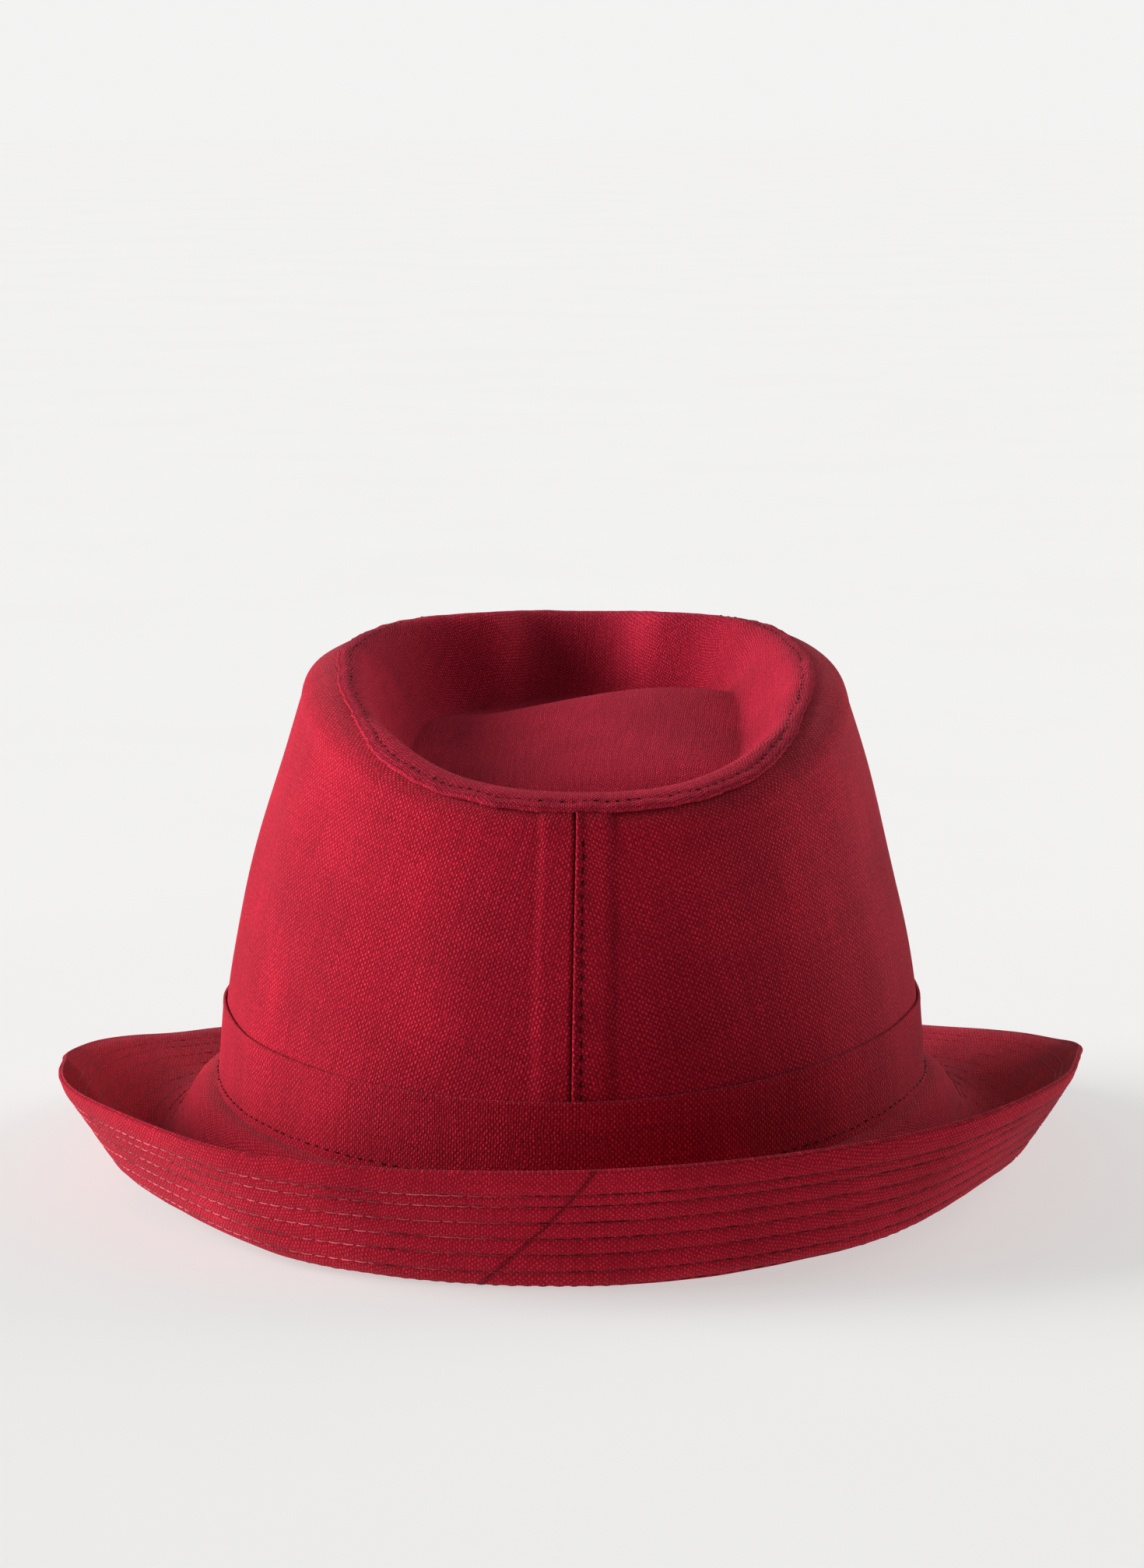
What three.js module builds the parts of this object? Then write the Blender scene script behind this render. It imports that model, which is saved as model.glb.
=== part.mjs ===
// A canvas trilby hat. Two side panels taper up from the head opening, a creased tip is lapped over
// their top edge, a flat band goes round their foot, and a brim of two sewn layers is turned up at
// the back and sides and snapped down at the front.
// Millimetres. +Z is up, +Y is the front of the hat, and +X its right-hand side seen from behind.
// Angles go round the hat from its right side: 90 is the front, 180 the left side, 270 the back.

import * as THREE from "three";

// Cloth
const SIDE_WALL = 1.6;
const TIP_WALL = 1.6;
const BAND_WALL = 1.1;
const BRIM_LAYER = 1.1;
const GAP = 0.3; // air between two pieces that are sewn together

// Crown. Heights are above the table.
const HEAD_WIDTH = 162; // inside the crown at its foot
const HEAD_LENGTH = 203;
const HEAD_SQUARENESS = 2.12; // 2 would be an ellipse
const FOOT_HEIGHT = 24.5; // of the crown's foot, at its highest side
const CROWN_HEIGHT = 116; // where the wall ends and the shoulder starts, at its highest
const TIP_WIDTH = 129; // between the starts of the two shoulders
const TIP_FRONT = 88; // from the hat's middle to the start of the shoulder
const TIP_BACK = 87;
const TIP_SHIFT = 1.1; // the top of the crown leans to the right
const WALL_SWELL = 1.36; // 1 would be a straight taper
const SHOULDER_IN = 10; // how far the shoulder rolls in and up
const SHOULDER_UP = 7;
const SHOULDER_END = 86; // the panels' upper edge under the tip, in degrees up from the wall
const PINCH_DEPTH = 8;

// Crease in the tip
const CREASE_DEPTH = 17; // below a level drawn over the rim
const CREASE_SLOPE = 16; // how far from the rim its floor starts
const MOUND_HEIGHT = 12;

// Band and brim
const BAND_WIDTH = 19;
const BRIM_WIDTH = 54.5;
const BRIM_START = 6; // how far from the band the brim takes to reach its downward slope
const BRIM_BEND = 18; // the stretch over which it turns from down to up
const BRIM_FLAT = 1.5; // cloth that hangs lower than this is pressed flat on the table
const BRIM_MARGIN = SIDE_WALL + GAP + BAND_WALL; // lies level under the wall and the band

// How finely the cloth is faceted
const STATIONS = 72;
const COURSE_STEP = 0.5; // of the sum that follows the brim's slope

// Round the hat. foot and top are shares of FOOT_HEIGHT and CROWN_HEIGHT; hem is where the tip's edge
// lies on the shoulder, in degrees up from the wall; fall and rise are the brim's steepest slopes, in
// degrees, and turn says where on the brim's width it changes from one to the other.
const ROUND = [
  { deg: 0, foot: 1.0, top: 0.955, hem: 76, fall: 60, rise: 58, turn: 0.47 },
  { deg: 30, foot: 0.94, top: 0.99, hem: 66, fall: 37, rise: 25, turn: 0.54 },
  { deg: 60, foot: 0.81, top: 1.0, hem: 60, fall: 30, rise: 15, turn: 0.61 },
  { deg: 90, foot: 0.74, top: 0.995, hem: 60, fall: 28, rise: 6, turn: 0.66 },
  { deg: 120, foot: 0.8, top: 1.0, hem: 60, fall: 30, rise: 15, turn: 0.62 },
  { deg: 150, foot: 0.9, top: 0.99, hem: 66, fall: 40, rise: 27, turn: 0.53 },
  { deg: 180, foot: 0.95, top: 0.97, hem: 77, fall: 60, rise: 56, turn: 0.48 },
  { deg: 210, foot: 0.87, top: 0.895, hem: 63, fall: 55, rise: 55, turn: 0.42 },
  { deg: 240, foot: 0.77, top: 0.816, hem: 53, fall: 57, rise: 61, turn: 0.43 },
  { deg: 270, foot: 0.72, top: 0.792, hem: 48, fall: 60, rise: 66, turn: 0.42 },
  { deg: 300, foot: 0.82, top: 0.808, hem: 53, fall: 59, rise: 63, turn: 0.41 },
  { deg: 330, foot: 0.96, top: 0.876, hem: 63, fall: 58, rise: 54, turn: 0.39 },
];

// Dents that pinch the front of the crown. up is a share of the wall's height, across and tall are the
// dent's half-sizes in degrees and in shares of the wall's height, deep is a share of PINCH_DEPTH.
const PINCHES = [
  { deg: 62, up: 0.9, across: 18, tall: 0.42, deep: 1 },
  { deg: 118, up: 0.9, across: 18, tall: 0.42, deep: 1 },
];

// Domes on the floor of the crease. x and wide are shares of half of TIP_WIDTH, y and long of TIP_FRONT,
// and high is a share of MOUND_HEIGHT. Two make the mound, higher on the right, and one a fold before it.
const MOUNDS = [
  { x: 0.02, y: -0.05, wide: 0.76, long: 0.48, high: 0.52 },
  { x: 0.3, y: -0.02, wide: 0.62, long: 0.44, high: 0.5 },
  { x: -0.28, y: 0.5, wide: 0.36, long: 0.2, high: 0.26 },
];

// Rows of points on the pieces. Wall rows are shares of what is above the band, tip rows are shares of
// the way from the hem to the crest and then from the crest to the middle, and brim rows are shares of
// the way from the band to the turn, then millimetres from the turn, then shares of what is left.
const WALL_ROWS = [0.22, 0.46, 0.72, 1];
const SHOULDER_ROWS = [0.4, 0.75, 1];
const HEM_ROWS = [0, 0.5, 1];
const CREASE_ROWS = [0.1, 0.2, 0.32, 0.45, 0.6, 0.8, 1];
const FALL_ROWS = [0.35];
const TURN_ROWS = [-7.5, -2.5, 2.5, 7.5];
const EDGE_ROWS = [0.5, 1];

const rad = THREE.MathUtils.degToRad;
const lerp = THREE.MathUtils.lerp;
const smooth = (t) => THREE.MathUtils.smoothstep(t, 0, 1);
const bell = (t) => Math.exp(-2 * t * t);
const dome = (t) => Math.exp(-(t ** 4));

// Smooth value of a column of ROUND at any angle, through rows that are evenly spaced.
function around(column, deg) {
  const place = deg / (360 / ROUND.length);
  const first = Math.floor(place);
  const t = place - first;
  const row = (k) => ROUND[(((first + k) % ROUND.length) + ROUND.length) % ROUND.length][column];
  const [a, b, c, d] = [row(-1), row(0), row(1), row(2)];
  return b + (t * (c - a + t * (2 * a - 5 * b + 4 * c - d + t * (3 * (b - c) + d - a)))) / 2;
}

// Point of an oval outline at an angle, with the half-width and half-length given.
function oval(deg, halfWidth, halfLength) {
  const power = 2 / HEAD_SQUARENESS;
  const [c, s] = [Math.cos(rad(deg)), Math.sin(rad(deg))];
  return new THREE.Vector2(
    halfWidth * Math.sign(c) * Math.abs(c) ** power,
    halfLength * Math.sign(s) * Math.abs(s) ** power,
  );
}

// Outer outline of the crown at its foot and where its shoulder starts.
const footAt = (deg) => oval(deg, HEAD_WIDTH / 2 + SIDE_WALL, HEAD_LENGTH / 2 + SIDE_WALL);
const brinkAt = (deg) =>
  oval(deg, TIP_WIDTH / 2, Math.sin(rad(deg)) > 0 ? TIP_FRONT : TIP_BACK).add(
    new THREE.Vector2(TIP_SHIFT, 0),
  );

// Outward direction in plan of an outline at an angle.
function outward(outline, deg) {
  const along = outline(deg + 0.5).sub(outline(deg - 0.5)).normalize();
  return new THREE.Vector2(along.y, -along.x);
}

const footHeight = (deg) => FOOT_HEIGHT * around("foot", deg);
const brinkHeight = (deg) => CROWN_HEIGHT * around("top", deg);

// How far the pinches push the wall in at a height share.
function pinch(deg, up) {
  return PINCHES.reduce((sum, p) => {
    const away = ((deg - p.deg + 540) % 360) - 180;
    return sum + PINCH_DEPTH * p.deep * bell(away / p.across) * bell((up - p.up) / p.tall);
  }, 0);
}

// Outer face of the side crown. up goes from 0 at the foot to 1 at the start of the shoulder.
function wallPoint(deg, up) {
  const plan = footAt(deg).lerp(brinkAt(deg), up ** WALL_SWELL);
  plan.addScaledVector(outward(brinkAt, deg), -pinch(deg, up));
  return new THREE.Vector3(plan.x, plan.y, lerp(footHeight(deg), brinkHeight(deg), up));
}

// The shoulder rolls in from the top of the wall. turn is 0 at the wall and 90 degrees at its crest.
function shoulderPoint(deg, turn) {
  const at = wallPoint(deg, 1);
  const inward = outward(brinkAt, deg).multiplyScalar(-SHOULDER_IN * (1 - Math.cos(rad(turn))));
  return new THREE.Vector3(at.x + inward.x, at.y + inward.y, at.z + SHOULDER_UP * Math.sin(rad(turn)));
}

// Surface of the tip inside its rim, before the gap. inwards is 0 at the crest and 1 in the middle.
function creasePoint(deg, inwards) {
  const crest = shoulderPoint(deg, 90);
  const middle = new THREE.Vector2(TIP_SHIFT, (TIP_FRONT - TIP_BACK) / 2);
  const plan = new THREE.Vector2(crest.x, crest.y).lerp(middle, inwards);
  const span = Math.hypot(crest.x - middle.x, crest.y - middle.y);
  const [front, back] = [shoulderPoint(90, 90), shoulderPoint(270, 90)];
  const level = lerp(back.z, front.z, (plan.y - back.y) / (front.y - back.y));
  const mound = MOUNDS.reduce((sum, m) => {
    const dx = (plan.x - TIP_SHIFT) / (TIP_WIDTH / 2) - m.x;
    const dy = plan.y / TIP_FRONT - m.y;
    return sum + MOUND_HEIGHT * m.high * dome(Math.hypot(dx / m.wide, dy / m.long));
  }, 0);
  const share = smooth((inwards * span) / CREASE_SLOPE);
  return new THREE.Vector3(plan.x, plan.y, lerp(crest.z, level - CREASE_DEPTH + mound, share));
}

// Outward direction of a surface at an angle and a place on its course.
function facing(surface, deg, place, step) {
  const across = surface(deg + 0.5, place).sub(surface(deg - 0.5, place));
  const along = surface(deg, place + step).sub(surface(deg, place - step));
  return across.cross(along).normalize();
}

const offset = (point, direction, distance) => point.clone().addScaledVector(direction, distance);

// Share of the wall's height that the band covers.
const bandShare = (deg) => BAND_WIDTH / wallPoint(deg, 0).distanceTo(wallPoint(deg, 1));

// Face and back of a side panel at an angle, from its foot to its upper edge under the tip.
function panelStation(deg, shift) {
  const level = new THREE.Vector3(outward(footAt, deg).x, outward(footAt, deg).y, 0);
  const top = bandShare(deg);
  const face = [wallPoint(deg, 0), wallPoint(deg, top / 2), wallPoint(deg, top)];
  const back = [offset(face[0], level, -SIDE_WALL)];
  for (const up of [top / 2, top]) {
    back.push(offset(wallPoint(deg, up), facing(wallPoint, deg, up, 0.01), -SIDE_WALL));
  }
  for (const share of WALL_ROWS) {
    const up = lerp(top, 1, share);
    face.push(wallPoint(deg, up));
    back.push(offset(face.at(-1), facing(wallPoint, deg, Math.min(up, 0.99), 0.01), -SIDE_WALL));
  }
  for (const share of SHOULDER_ROWS) {
    const turn = SHOULDER_END * share;
    face.push(shoulderPoint(deg, turn));
    back.push(offset(face.at(-1), facing(shoulderPoint, deg, turn, 1), -SIDE_WALL));
  }
  for (const point of [...face, ...back]) point.x += shift;
  return { face, back };
}

// Face and back of the tip at an angle, from its hem over the crest to the middle of the crease.
function tipStation(deg) {
  const [face, back] = [[], []];
  for (const share of HEM_ROWS) {
    const turn = lerp(around("hem", deg), 90, share);
    const [point, out] = [shoulderPoint(deg, turn), facing(shoulderPoint, deg, turn, 1)];
    face.push(offset(point, out, GAP + TIP_WALL));
    back.push(offset(point, out, GAP));
  }
  for (const share of CREASE_ROWS) {
    const point = creasePoint(deg, share);
    const out = share < 1 ? facing(creasePoint, deg, share, 0.02) : new THREE.Vector3(0, 0, 1);
    face.push(offset(point, out, GAP + TIP_WALL));
    back.push(offset(point, out, GAP));
  }
  return { face, back };
}

// Face and back of the band at an angle, over the foot of the crown.
function bandStation(deg) {
  const level = new THREE.Vector3(outward(footAt, deg).x, outward(footAt, deg).y, 0);
  const [face, back] = [[], []];
  for (const share of [0, 0.5, 1]) {
    const point = wallPoint(deg, bandShare(deg) * share);
    face.push(offset(point, level, GAP + BAND_WALL));
    back.push(offset(point, level, GAP));
  }
  return { face, back };
}

// The brim's upper face at an angle, as [out, up, slope] every COURSE_STEP from its inner edge.
function brimCourse(deg) {
  const turnAt = BRIM_MARGIN + around("turn", deg) * BRIM_WIDTH;
  const slopeAt = (s) => {
    const fall = smooth((s - BRIM_MARGIN) / BRIM_START);
    const rise = smooth((s - turnAt) / BRIM_BEND + 0.5);
    return rad(around("rise", deg) * rise - around("fall", deg) * fall * (1 - rise));
  };
  const course = [[-SIDE_WALL, footHeight(deg) - GAP, 0]];
  const steps = Math.round((BRIM_MARGIN + BRIM_WIDTH) / COURSE_STEP);
  for (let i = 0; i < steps; i++) {
    const [out, up] = course[i];
    const slope = slopeAt((i + 0.5) * COURSE_STEP);
    course.push([out + COURSE_STEP * Math.cos(slope), up + COURSE_STEP * Math.sin(slope), slope]);
  }
  return course;
}


// Both faces of one layer of the brim at an angle. depth is how far under the brim's upper face the
// layer's own upper face is. What would hang below BRIM_FLAT is pressed flat, with all that is over it,
// and the press fades out at twice that height.
function brimStation(deg, depth) {
  const course = brimCourse(deg);
  const [foot, out] = [footAt(deg), outward(footAt, deg)];
  const turnAt = around("turn", deg) * BRIM_WIDTH;
  const rows = [-BRIM_MARGIN, 0, ...FALL_ROWS.map((share) => share * turnAt)];
  rows.push(...TURN_ROWS.map((away) => turnAt + away));
  const last = rows.at(-1);
  rows.push(...EDGE_ROWS.map((share) => lerp(last, BRIM_WIDTH, share)));
  const at = (s, down) => {
    const place = Math.min((s + BRIM_MARGIN) / COURSE_STEP, course.length - 1);
    const [first, share] = [Math.floor(place), place % 1];
    const [a, b] = [course[first], course[Math.min(first + 1, course.length - 1)]];
    const slope = lerp(a[2], b[2], share);
    const away = lerp(a[0], b[0], share) + down * Math.sin(slope);
    const up = lerp(a[1], b[1], share) - down * Math.cos(slope);
    return new THREE.Vector3(foot.x + out.x * away, foot.y + out.y * away, up);
  };
  const drop = rows.map((s) => {
    const hangs = at(s, 2 * BRIM_LAYER + GAP).z;
    return hangs - Math.max(0, Math.min(hangs, 2 * (hangs - BRIM_FLAT)));
  });
  const layer = (down) => rows.map((s, i) => at(s, down).setZ(at(s, down).z - drop[i]));
  return { face: layer(depth), back: layer(depth + BRIM_LAYER) };
}

// Angles of evenly spaced stations from one angle to another, both included.
function spread(from, to, count) {
  return Array.from({ length: count + 1 }, (_, i) => lerp(from, to, i / count));
}

// Closes a piece of cloth between its face and its back. ring joins the last station to the first,
// and pole says that the last points of all stations are one.
function clothWall(stations, { ring = false, pole = false } = {}) {
  const rows = stations[0].face.length;
  const positions = [];
  const index = [];
  const number = (i, j, side) => {
    const station = ring ? i % stations.length : i;
    return ((pole && j === rows - 1 ? 0 : station) * rows + j) * 2 + side;
  };
  for (const { face, back } of stations) {
    for (let j = 0; j < rows; j++) positions.push(...face[j].toArray(), ...back[j].toArray());
  }
  const quad = (a, b, c, d) => {
    for (const [p, q, r] of [[a, b, c], [a, c, d]]) {
      if (p !== q && q !== r && r !== p) index.push(p, q, r);
    }
  };
  const spans = ring ? stations.length : stations.length - 1;
  for (let i = 0; i < spans; i++) {
    for (let j = 0; j < rows - 1; j++) {
      quad(number(i, j, 0), number(i + 1, j, 0), number(i + 1, j + 1, 0), number(i, j + 1, 0));
      quad(number(i, j, 1), number(i, j + 1, 1), number(i + 1, j + 1, 1), number(i + 1, j, 1));
    }
    quad(number(i, 0, 1), number(i + 1, 0, 1), number(i + 1, 0, 0), number(i, 0, 0));
    if (!pole) {
      const j = rows - 1;
      quad(number(i, j, 0), number(i + 1, j, 0), number(i + 1, j, 1), number(i, j, 1));
    }
  }
  if (!ring) {
    for (let j = 0; j < rows - 1; j++) {
      quad(number(0, j, 1), number(0, j, 0), number(0, j + 1, 0), number(0, j + 1, 1));
      quad(number(spans, j, 0), number(spans, j, 1), number(spans, j + 1, 1), number(spans, j + 1, 0));
    }
  }
  const corner = (k) => new THREE.Vector3().fromArray(positions, index[k] * 3);
  let volume = 0;
  for (let k = 0; k < index.length; k += 3) {
    volume += corner(k).dot(corner(k + 1).cross(corner(k + 2)));
  }
  if (volume < 0) index.reverse();
  const used = [...new Set(index)].sort((a, b) => a - b);
  const renumbered = new Map(used.map((old, k) => [old, k]));
  const geometry = new THREE.BufferGeometry();
  const kept = used.flatMap((old) => positions.slice(old * 3, old * 3 + 3));
  geometry.setAttribute("position", new THREE.Float32BufferAttribute(kept, 3));
  geometry.setIndex(index.map((old) => renumbered.get(old)));
  geometry.computeVertexNormals();
  return geometry;
}

function piece(name, geometry, color, roughness) {
  const material = new THREE.MeshStandardMaterial({ color, roughness, metalness: 0 });
  material.name = `${name}_canvas`;
  const mesh = new THREE.Mesh(geometry, material);
  mesh.name = name;
  return mesh;
}

// The two side panels meet at a seam at the front and one at the back, with air between them.
function sidePanel(from, side) {
  const angles = spread(from, from + 180, STATIONS / 2);
  const last = angles.length - 1;
  return clothWall(
    angles.map((deg, i) => panelStation(deg, i === 0 || i === last ? (side * GAP) / 2 : 0)),
  );
}

const allRound = spread(0, 360, STATIONS).slice(0, -1);
const hat = new THREE.Group();
hat.name = "canvas_trilby";
hat.add(
  piece("crown_panel_left", sidePanel(90, -1), 0x9e2137, 0.92),
  piece("crown_panel_right", sidePanel(270, 1), 0x9a1f35, 0.92),
  piece("crown_tip", clothWall(allRound.map(tipStation), { ring: true, pole: true }), 0x961e34, 0.93),
  piece("hat_band", clothWall(allRound.map(bandStation), { ring: true }), 0x8f1d33, 0.93),
  piece(
    "brim_upper",
    clothWall(allRound.map((deg) => brimStation(deg, 0)), { ring: true }),
    0x981f36,
    0.92,
  ),
  piece(
    "brim_under",
    clothWall(allRound.map((deg) => brimStation(deg, BRIM_LAYER + GAP)), { ring: true }),
    0xa22439,
    0.9,
  ),
);

// The hat is moved so that the middle of its outline on the table is the origin.
const bounds = new THREE.Box3().setFromObject(hat);
const middle = bounds.getCenter(new THREE.Vector3());
for (const mesh of hat.children) mesh.geometry.translate(-middle.x, -middle.y, -bounds.min.z);

export default hat;
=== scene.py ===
"""A canvas trilby hat on a pale studio floor, seen from behind.

The hat's CAD solids are replaced by finely meshed cloth that lies in the same places. Sizes are
millimetres until a mesh is written, and metres from there on. +Z is up, +Y is the front of the hat.
Angles go round the hat from its right side: 90 is the front, 180 the left side, 270 the back.
"""

import logging
import math
from collections.abc import Callable
from dataclasses import dataclass, field, replace
from enum import Enum

import bpy
import numpy as np
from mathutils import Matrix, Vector


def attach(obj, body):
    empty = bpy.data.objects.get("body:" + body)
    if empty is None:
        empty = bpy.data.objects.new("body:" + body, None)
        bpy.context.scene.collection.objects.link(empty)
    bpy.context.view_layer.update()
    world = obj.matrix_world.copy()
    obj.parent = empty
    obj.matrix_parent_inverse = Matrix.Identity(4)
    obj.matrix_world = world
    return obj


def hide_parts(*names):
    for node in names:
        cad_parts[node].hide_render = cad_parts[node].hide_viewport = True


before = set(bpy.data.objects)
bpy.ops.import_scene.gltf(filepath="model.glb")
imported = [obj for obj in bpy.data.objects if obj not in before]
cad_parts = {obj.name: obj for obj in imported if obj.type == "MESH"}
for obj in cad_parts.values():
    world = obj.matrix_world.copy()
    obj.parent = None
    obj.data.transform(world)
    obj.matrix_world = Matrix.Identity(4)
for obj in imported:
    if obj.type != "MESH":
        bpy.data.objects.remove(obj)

MM = 0.001
UV_PER_MM = 0.01
BODY = "root"
CLOTH_UV = "cloth"
# Mesh attribute of how deep the cloth is sewn in, which the cloth's shader turns into a dent and painted
# shade.
SUNK = "sunk"

Value = bpy.types.NodeSocket | float | tuple

log = logging.getLogger("hat")


class Slot(Enum):
    """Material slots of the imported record."""

    CROWN = "crown_canvas"
    TIP = "tip_canvas"
    BAND = "band_canvas"
    BRIM_UPPER = "brim_upper_canvas"
    BRIM_UNDER = "brim_under_canvas"


class Side(Enum):
    """The two side panels of the crown, by the angle at which each starts."""

    LEFT = 90
    RIGHT = 270


def smooth(t: np.ndarray) -> np.ndarray:
    """Ease from 0 to 1 with level ends."""
    t = np.clip(t, 0.0, 1.0)
    return t * t * (3 - 2 * t)


def bell(t: np.ndarray) -> np.ndarray:
    """A soft bump of height 1 that fades out at about 1.5."""
    return np.exp(-2 * np.square(t))


def unit(v: np.ndarray) -> np.ndarray:
    """Vectors of length 1 in the same directions."""
    return v / np.maximum(np.linalg.norm(v, axis=-1, keepdims=True), 1e-9)


def blend(a: np.ndarray, b: np.ndarray, t: np.ndarray) -> np.ndarray:
    """Point between a and b, with one share t for all its coordinates."""
    return a + (b - a) * np.asarray(t)[..., None]


def apart(deg: np.ndarray, at: float) -> np.ndarray:
    """Angle from one direction to others, from -180 to 180."""
    return (deg - at + 540) % 360 - 180


def all_round(count: int) -> np.ndarray:
    """Evenly spaced angles, once round the hat."""
    return np.linspace(0, 360, count + 1)[:-1]


def lengths(points: np.ndarray) -> np.ndarray:
    """Distance of each point from the first in its row, measured along the row."""
    steps = np.linalg.norm(np.diff(points, axis=-2), axis=-1)
    return np.concatenate([np.zeros((*steps.shape[:-1], 1)), np.cumsum(steps, -1)], -1)


def placed(name: str, data: bpy.types.ID) -> bpy.types.Object:
    """Add an object to the scene.

    Args:
        name: its name.
        data: its mesh, light or camera.

    Returns:
        The new object.
    """
    made = bpy.data.objects.new(name, data)
    bpy.context.scene.collection.objects.link(made)
    return made


class Ripple:
    """Smooth seeded waves over a distance, for cloth that is never quite even."""

    def __init__(self, seed: int, shortest: float, longest: float, waves: int = 9) -> None:
        """Draw the waves.

        Args:
            seed: start of the random draw.
            shortest: shortest wave length.
            longest: longest wave length.
            waves: how many waves are added up.
        """
        rng = np.random.default_rng(seed)
        length = np.exp(rng.uniform(math.log(shortest), math.log(longest), waves))
        heading = rng.normal(size=(waves, 3))
        self.wave = unit(heading) * (2 * math.pi / length)[:, None]
        self.phase = rng.uniform(0, 2 * math.pi, waves)
        self.share = 1 / math.sqrt(waves / 2)

    def over(self, points: np.ndarray) -> np.ndarray:
        """Height of the waves, about -1 to 1, at points in space.

        Args:
            points: array whose last axis is x, y, z.

        Returns:
            One height for each point.
        """
        return self.share * np.sin(points @ self.wave.T + self.phase).mean(-1) * math.sqrt(len(self.phase))


@dataclass(frozen=True)
class HatForm:
    """Surfaces of the hat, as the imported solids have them."""

    side_wall: float = 1.6
    tip_wall: float = 1.6
    band_wall: float = 1.1
    brim_layer: float = 1.1
    gap: float = 0.3
    head_width: float = 162
    head_length: float = 203
    head_squareness: float = 2.12
    foot_height: float = 24.5
    crown_height: float = 116
    tip_width: float = 129
    tip_front: float = 88
    tip_back: float = 87
    tip_shift: float = 1.1
    wall_swell: float = 1.6
    shoulder_in: float = 10
    shoulder_up: float = 7
    shoulder_end: float = 86
    pinch_depth: float = 8
    crease_depth: float = 17
    crease_slope: float = 16
    mound_height: float = 12
    mound_low: float = 0.55
    mound_gain: float = 0.45
    band_width: float = 19
    brim_width: float = 54.5
    brim_start: float = 6
    brim_bend: float = 18
    brim_flat: float = 1.5
    brim_step: float = 0.25
    middle: tuple[float, float, float] = (0.229, 8.963, 0.0)
    # One row every 30 degrees: foot and top are shares of heights, hem, fall and rise are degrees,
    # and turn is a share of the brim's width.
    rows: tuple = (
        (1.0, 0.955, 76, 60, 58, 0.47),
        (0.94, 0.998, 66, 37, 25, 0.54),
        (0.81, 1.003, 60, 30, 15, 0.61),
        (0.74, 0.993, 60, 28, 6, 0.66),
        (0.8, 1.003, 60, 30, 15, 0.62),
        (0.9, 0.998, 66, 40, 27, 0.53),
        (0.95, 0.97, 77, 60, 56, 0.48),
        (0.87, 0.895, 63, 55, 55, 0.42),
        (0.77, 0.816, 53, 57, 61, 0.43),
        (0.72, 0.792, 48, 60, 66, 0.42),
        (0.82, 0.808, 53, 59, 63, 0.41),
        (0.96, 0.876, 63, 58, 54, 0.39),
    )
    columns: tuple[str, ...] = ("foot", "top", "hem", "fall", "rise", "turn")
    pinches: tuple = ((62, 0.9, 18, 0.42), (118, 0.9, 18, 0.42))
    # How far the crease leaves the pinches behind, and the share of the way in where it has done so.
    pinch_lost: float = 0.75
    pinch_end: float = 0.3
    # Domes on the crease's floor: x, y, half-width and half-length as shares, and share of the height.
    mounds: tuple = ((0.36, -0.03, 0.74, 0.46, 1.2),)
    # Places where the brim bulges: angle, half-width in degrees, and mm outwards and upwards.
    swells: tuple = (
        (190, 18, 0.7, 0.0),
        (170, 12, 0.3, -1.1),
        (236, 14, 1.0, -0.2),
        (310, 26, 1.5, -0.6),
        (2, 12, 1.5, -1.1),
        (150, 12, 0.0, 0.4),
        (30, 12, 0.0, 0.6),
    )
    swell_reach: float = 30
    slack: float = 0.55
    slack_up: float = 0.35
    slack_from: float = 12
    ripple: Ripple = field(default_factory=lambda: Ripple(11, 26, 90))

    @property
    def brim_margin(self) -> float:
        """Width of the brim's level edge under the wall and the band."""
        return self.side_wall + self.gap + self.band_wall

    def around(self, column: str, deg: np.ndarray) -> np.ndarray:
        """Smooth value of a column of rows at any angle.

        Args:
            column: name of the column.
            deg: angles round the hat.

        Returns:
            The column's value at each angle.
        """
        value = np.array([row[self.columns.index(column)] for row in self.rows], float)
        place = np.asarray(deg, float) / (360 / len(value))
        first = np.floor(place).astype(int)
        t = place - first
        a, b, c, d = (value[(first + k) % len(value)] for k in (-1, 0, 1, 2))
        return b + t * (c - a + t * (2 * a - 5 * b + 4 * c - d + t * (3 * (b - c) + d - a))) / 2

    def oval(self, deg: np.ndarray, half_width: float, half_length: np.ndarray) -> np.ndarray:
        """Outline in plan, a little squarer than an ellipse.

        Args:
            deg: angles round the hat.
            half_width: half its width.
            half_length: half its length, which may differ between front and back.

        Returns:
            Points in plan.
        """
        angle = np.radians(np.asarray(deg, float))
        power = 2 / self.head_squareness
        c, s = np.cos(angle), np.sin(angle)
        x = half_width * np.sign(c) * np.abs(c) ** power
        y = half_length * np.sign(s) * np.abs(s) ** power
        return np.stack([x, y], -1)

    def foot_at(self, deg: np.ndarray) -> np.ndarray:
        """Outer outline of the crown's foot in plan."""
        return self.oval(deg, self.head_width / 2 + self.side_wall, self.head_length / 2 + self.side_wall)

    def brink_at(self, deg: np.ndarray) -> np.ndarray:
        """Outline in plan where the wall ends and the shoulder starts."""
        half = np.where(np.sin(np.radians(deg)) > 0, self.tip_front, self.tip_back)
        return self.oval(deg, self.tip_width / 2, half) + [self.tip_shift, 0]

    def outward(self, outline: Callable, deg: np.ndarray) -> np.ndarray:
        """Outward direction in plan of an outline."""
        along = unit(outline(deg + 0.5) - outline(deg - 0.5))
        return np.stack([along[..., 1], -along[..., 0]], -1)

    def foot_z(self, deg: np.ndarray) -> np.ndarray:
        """Height of the crown's foot."""
        return self.foot_height * self.around("foot", deg)

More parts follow.
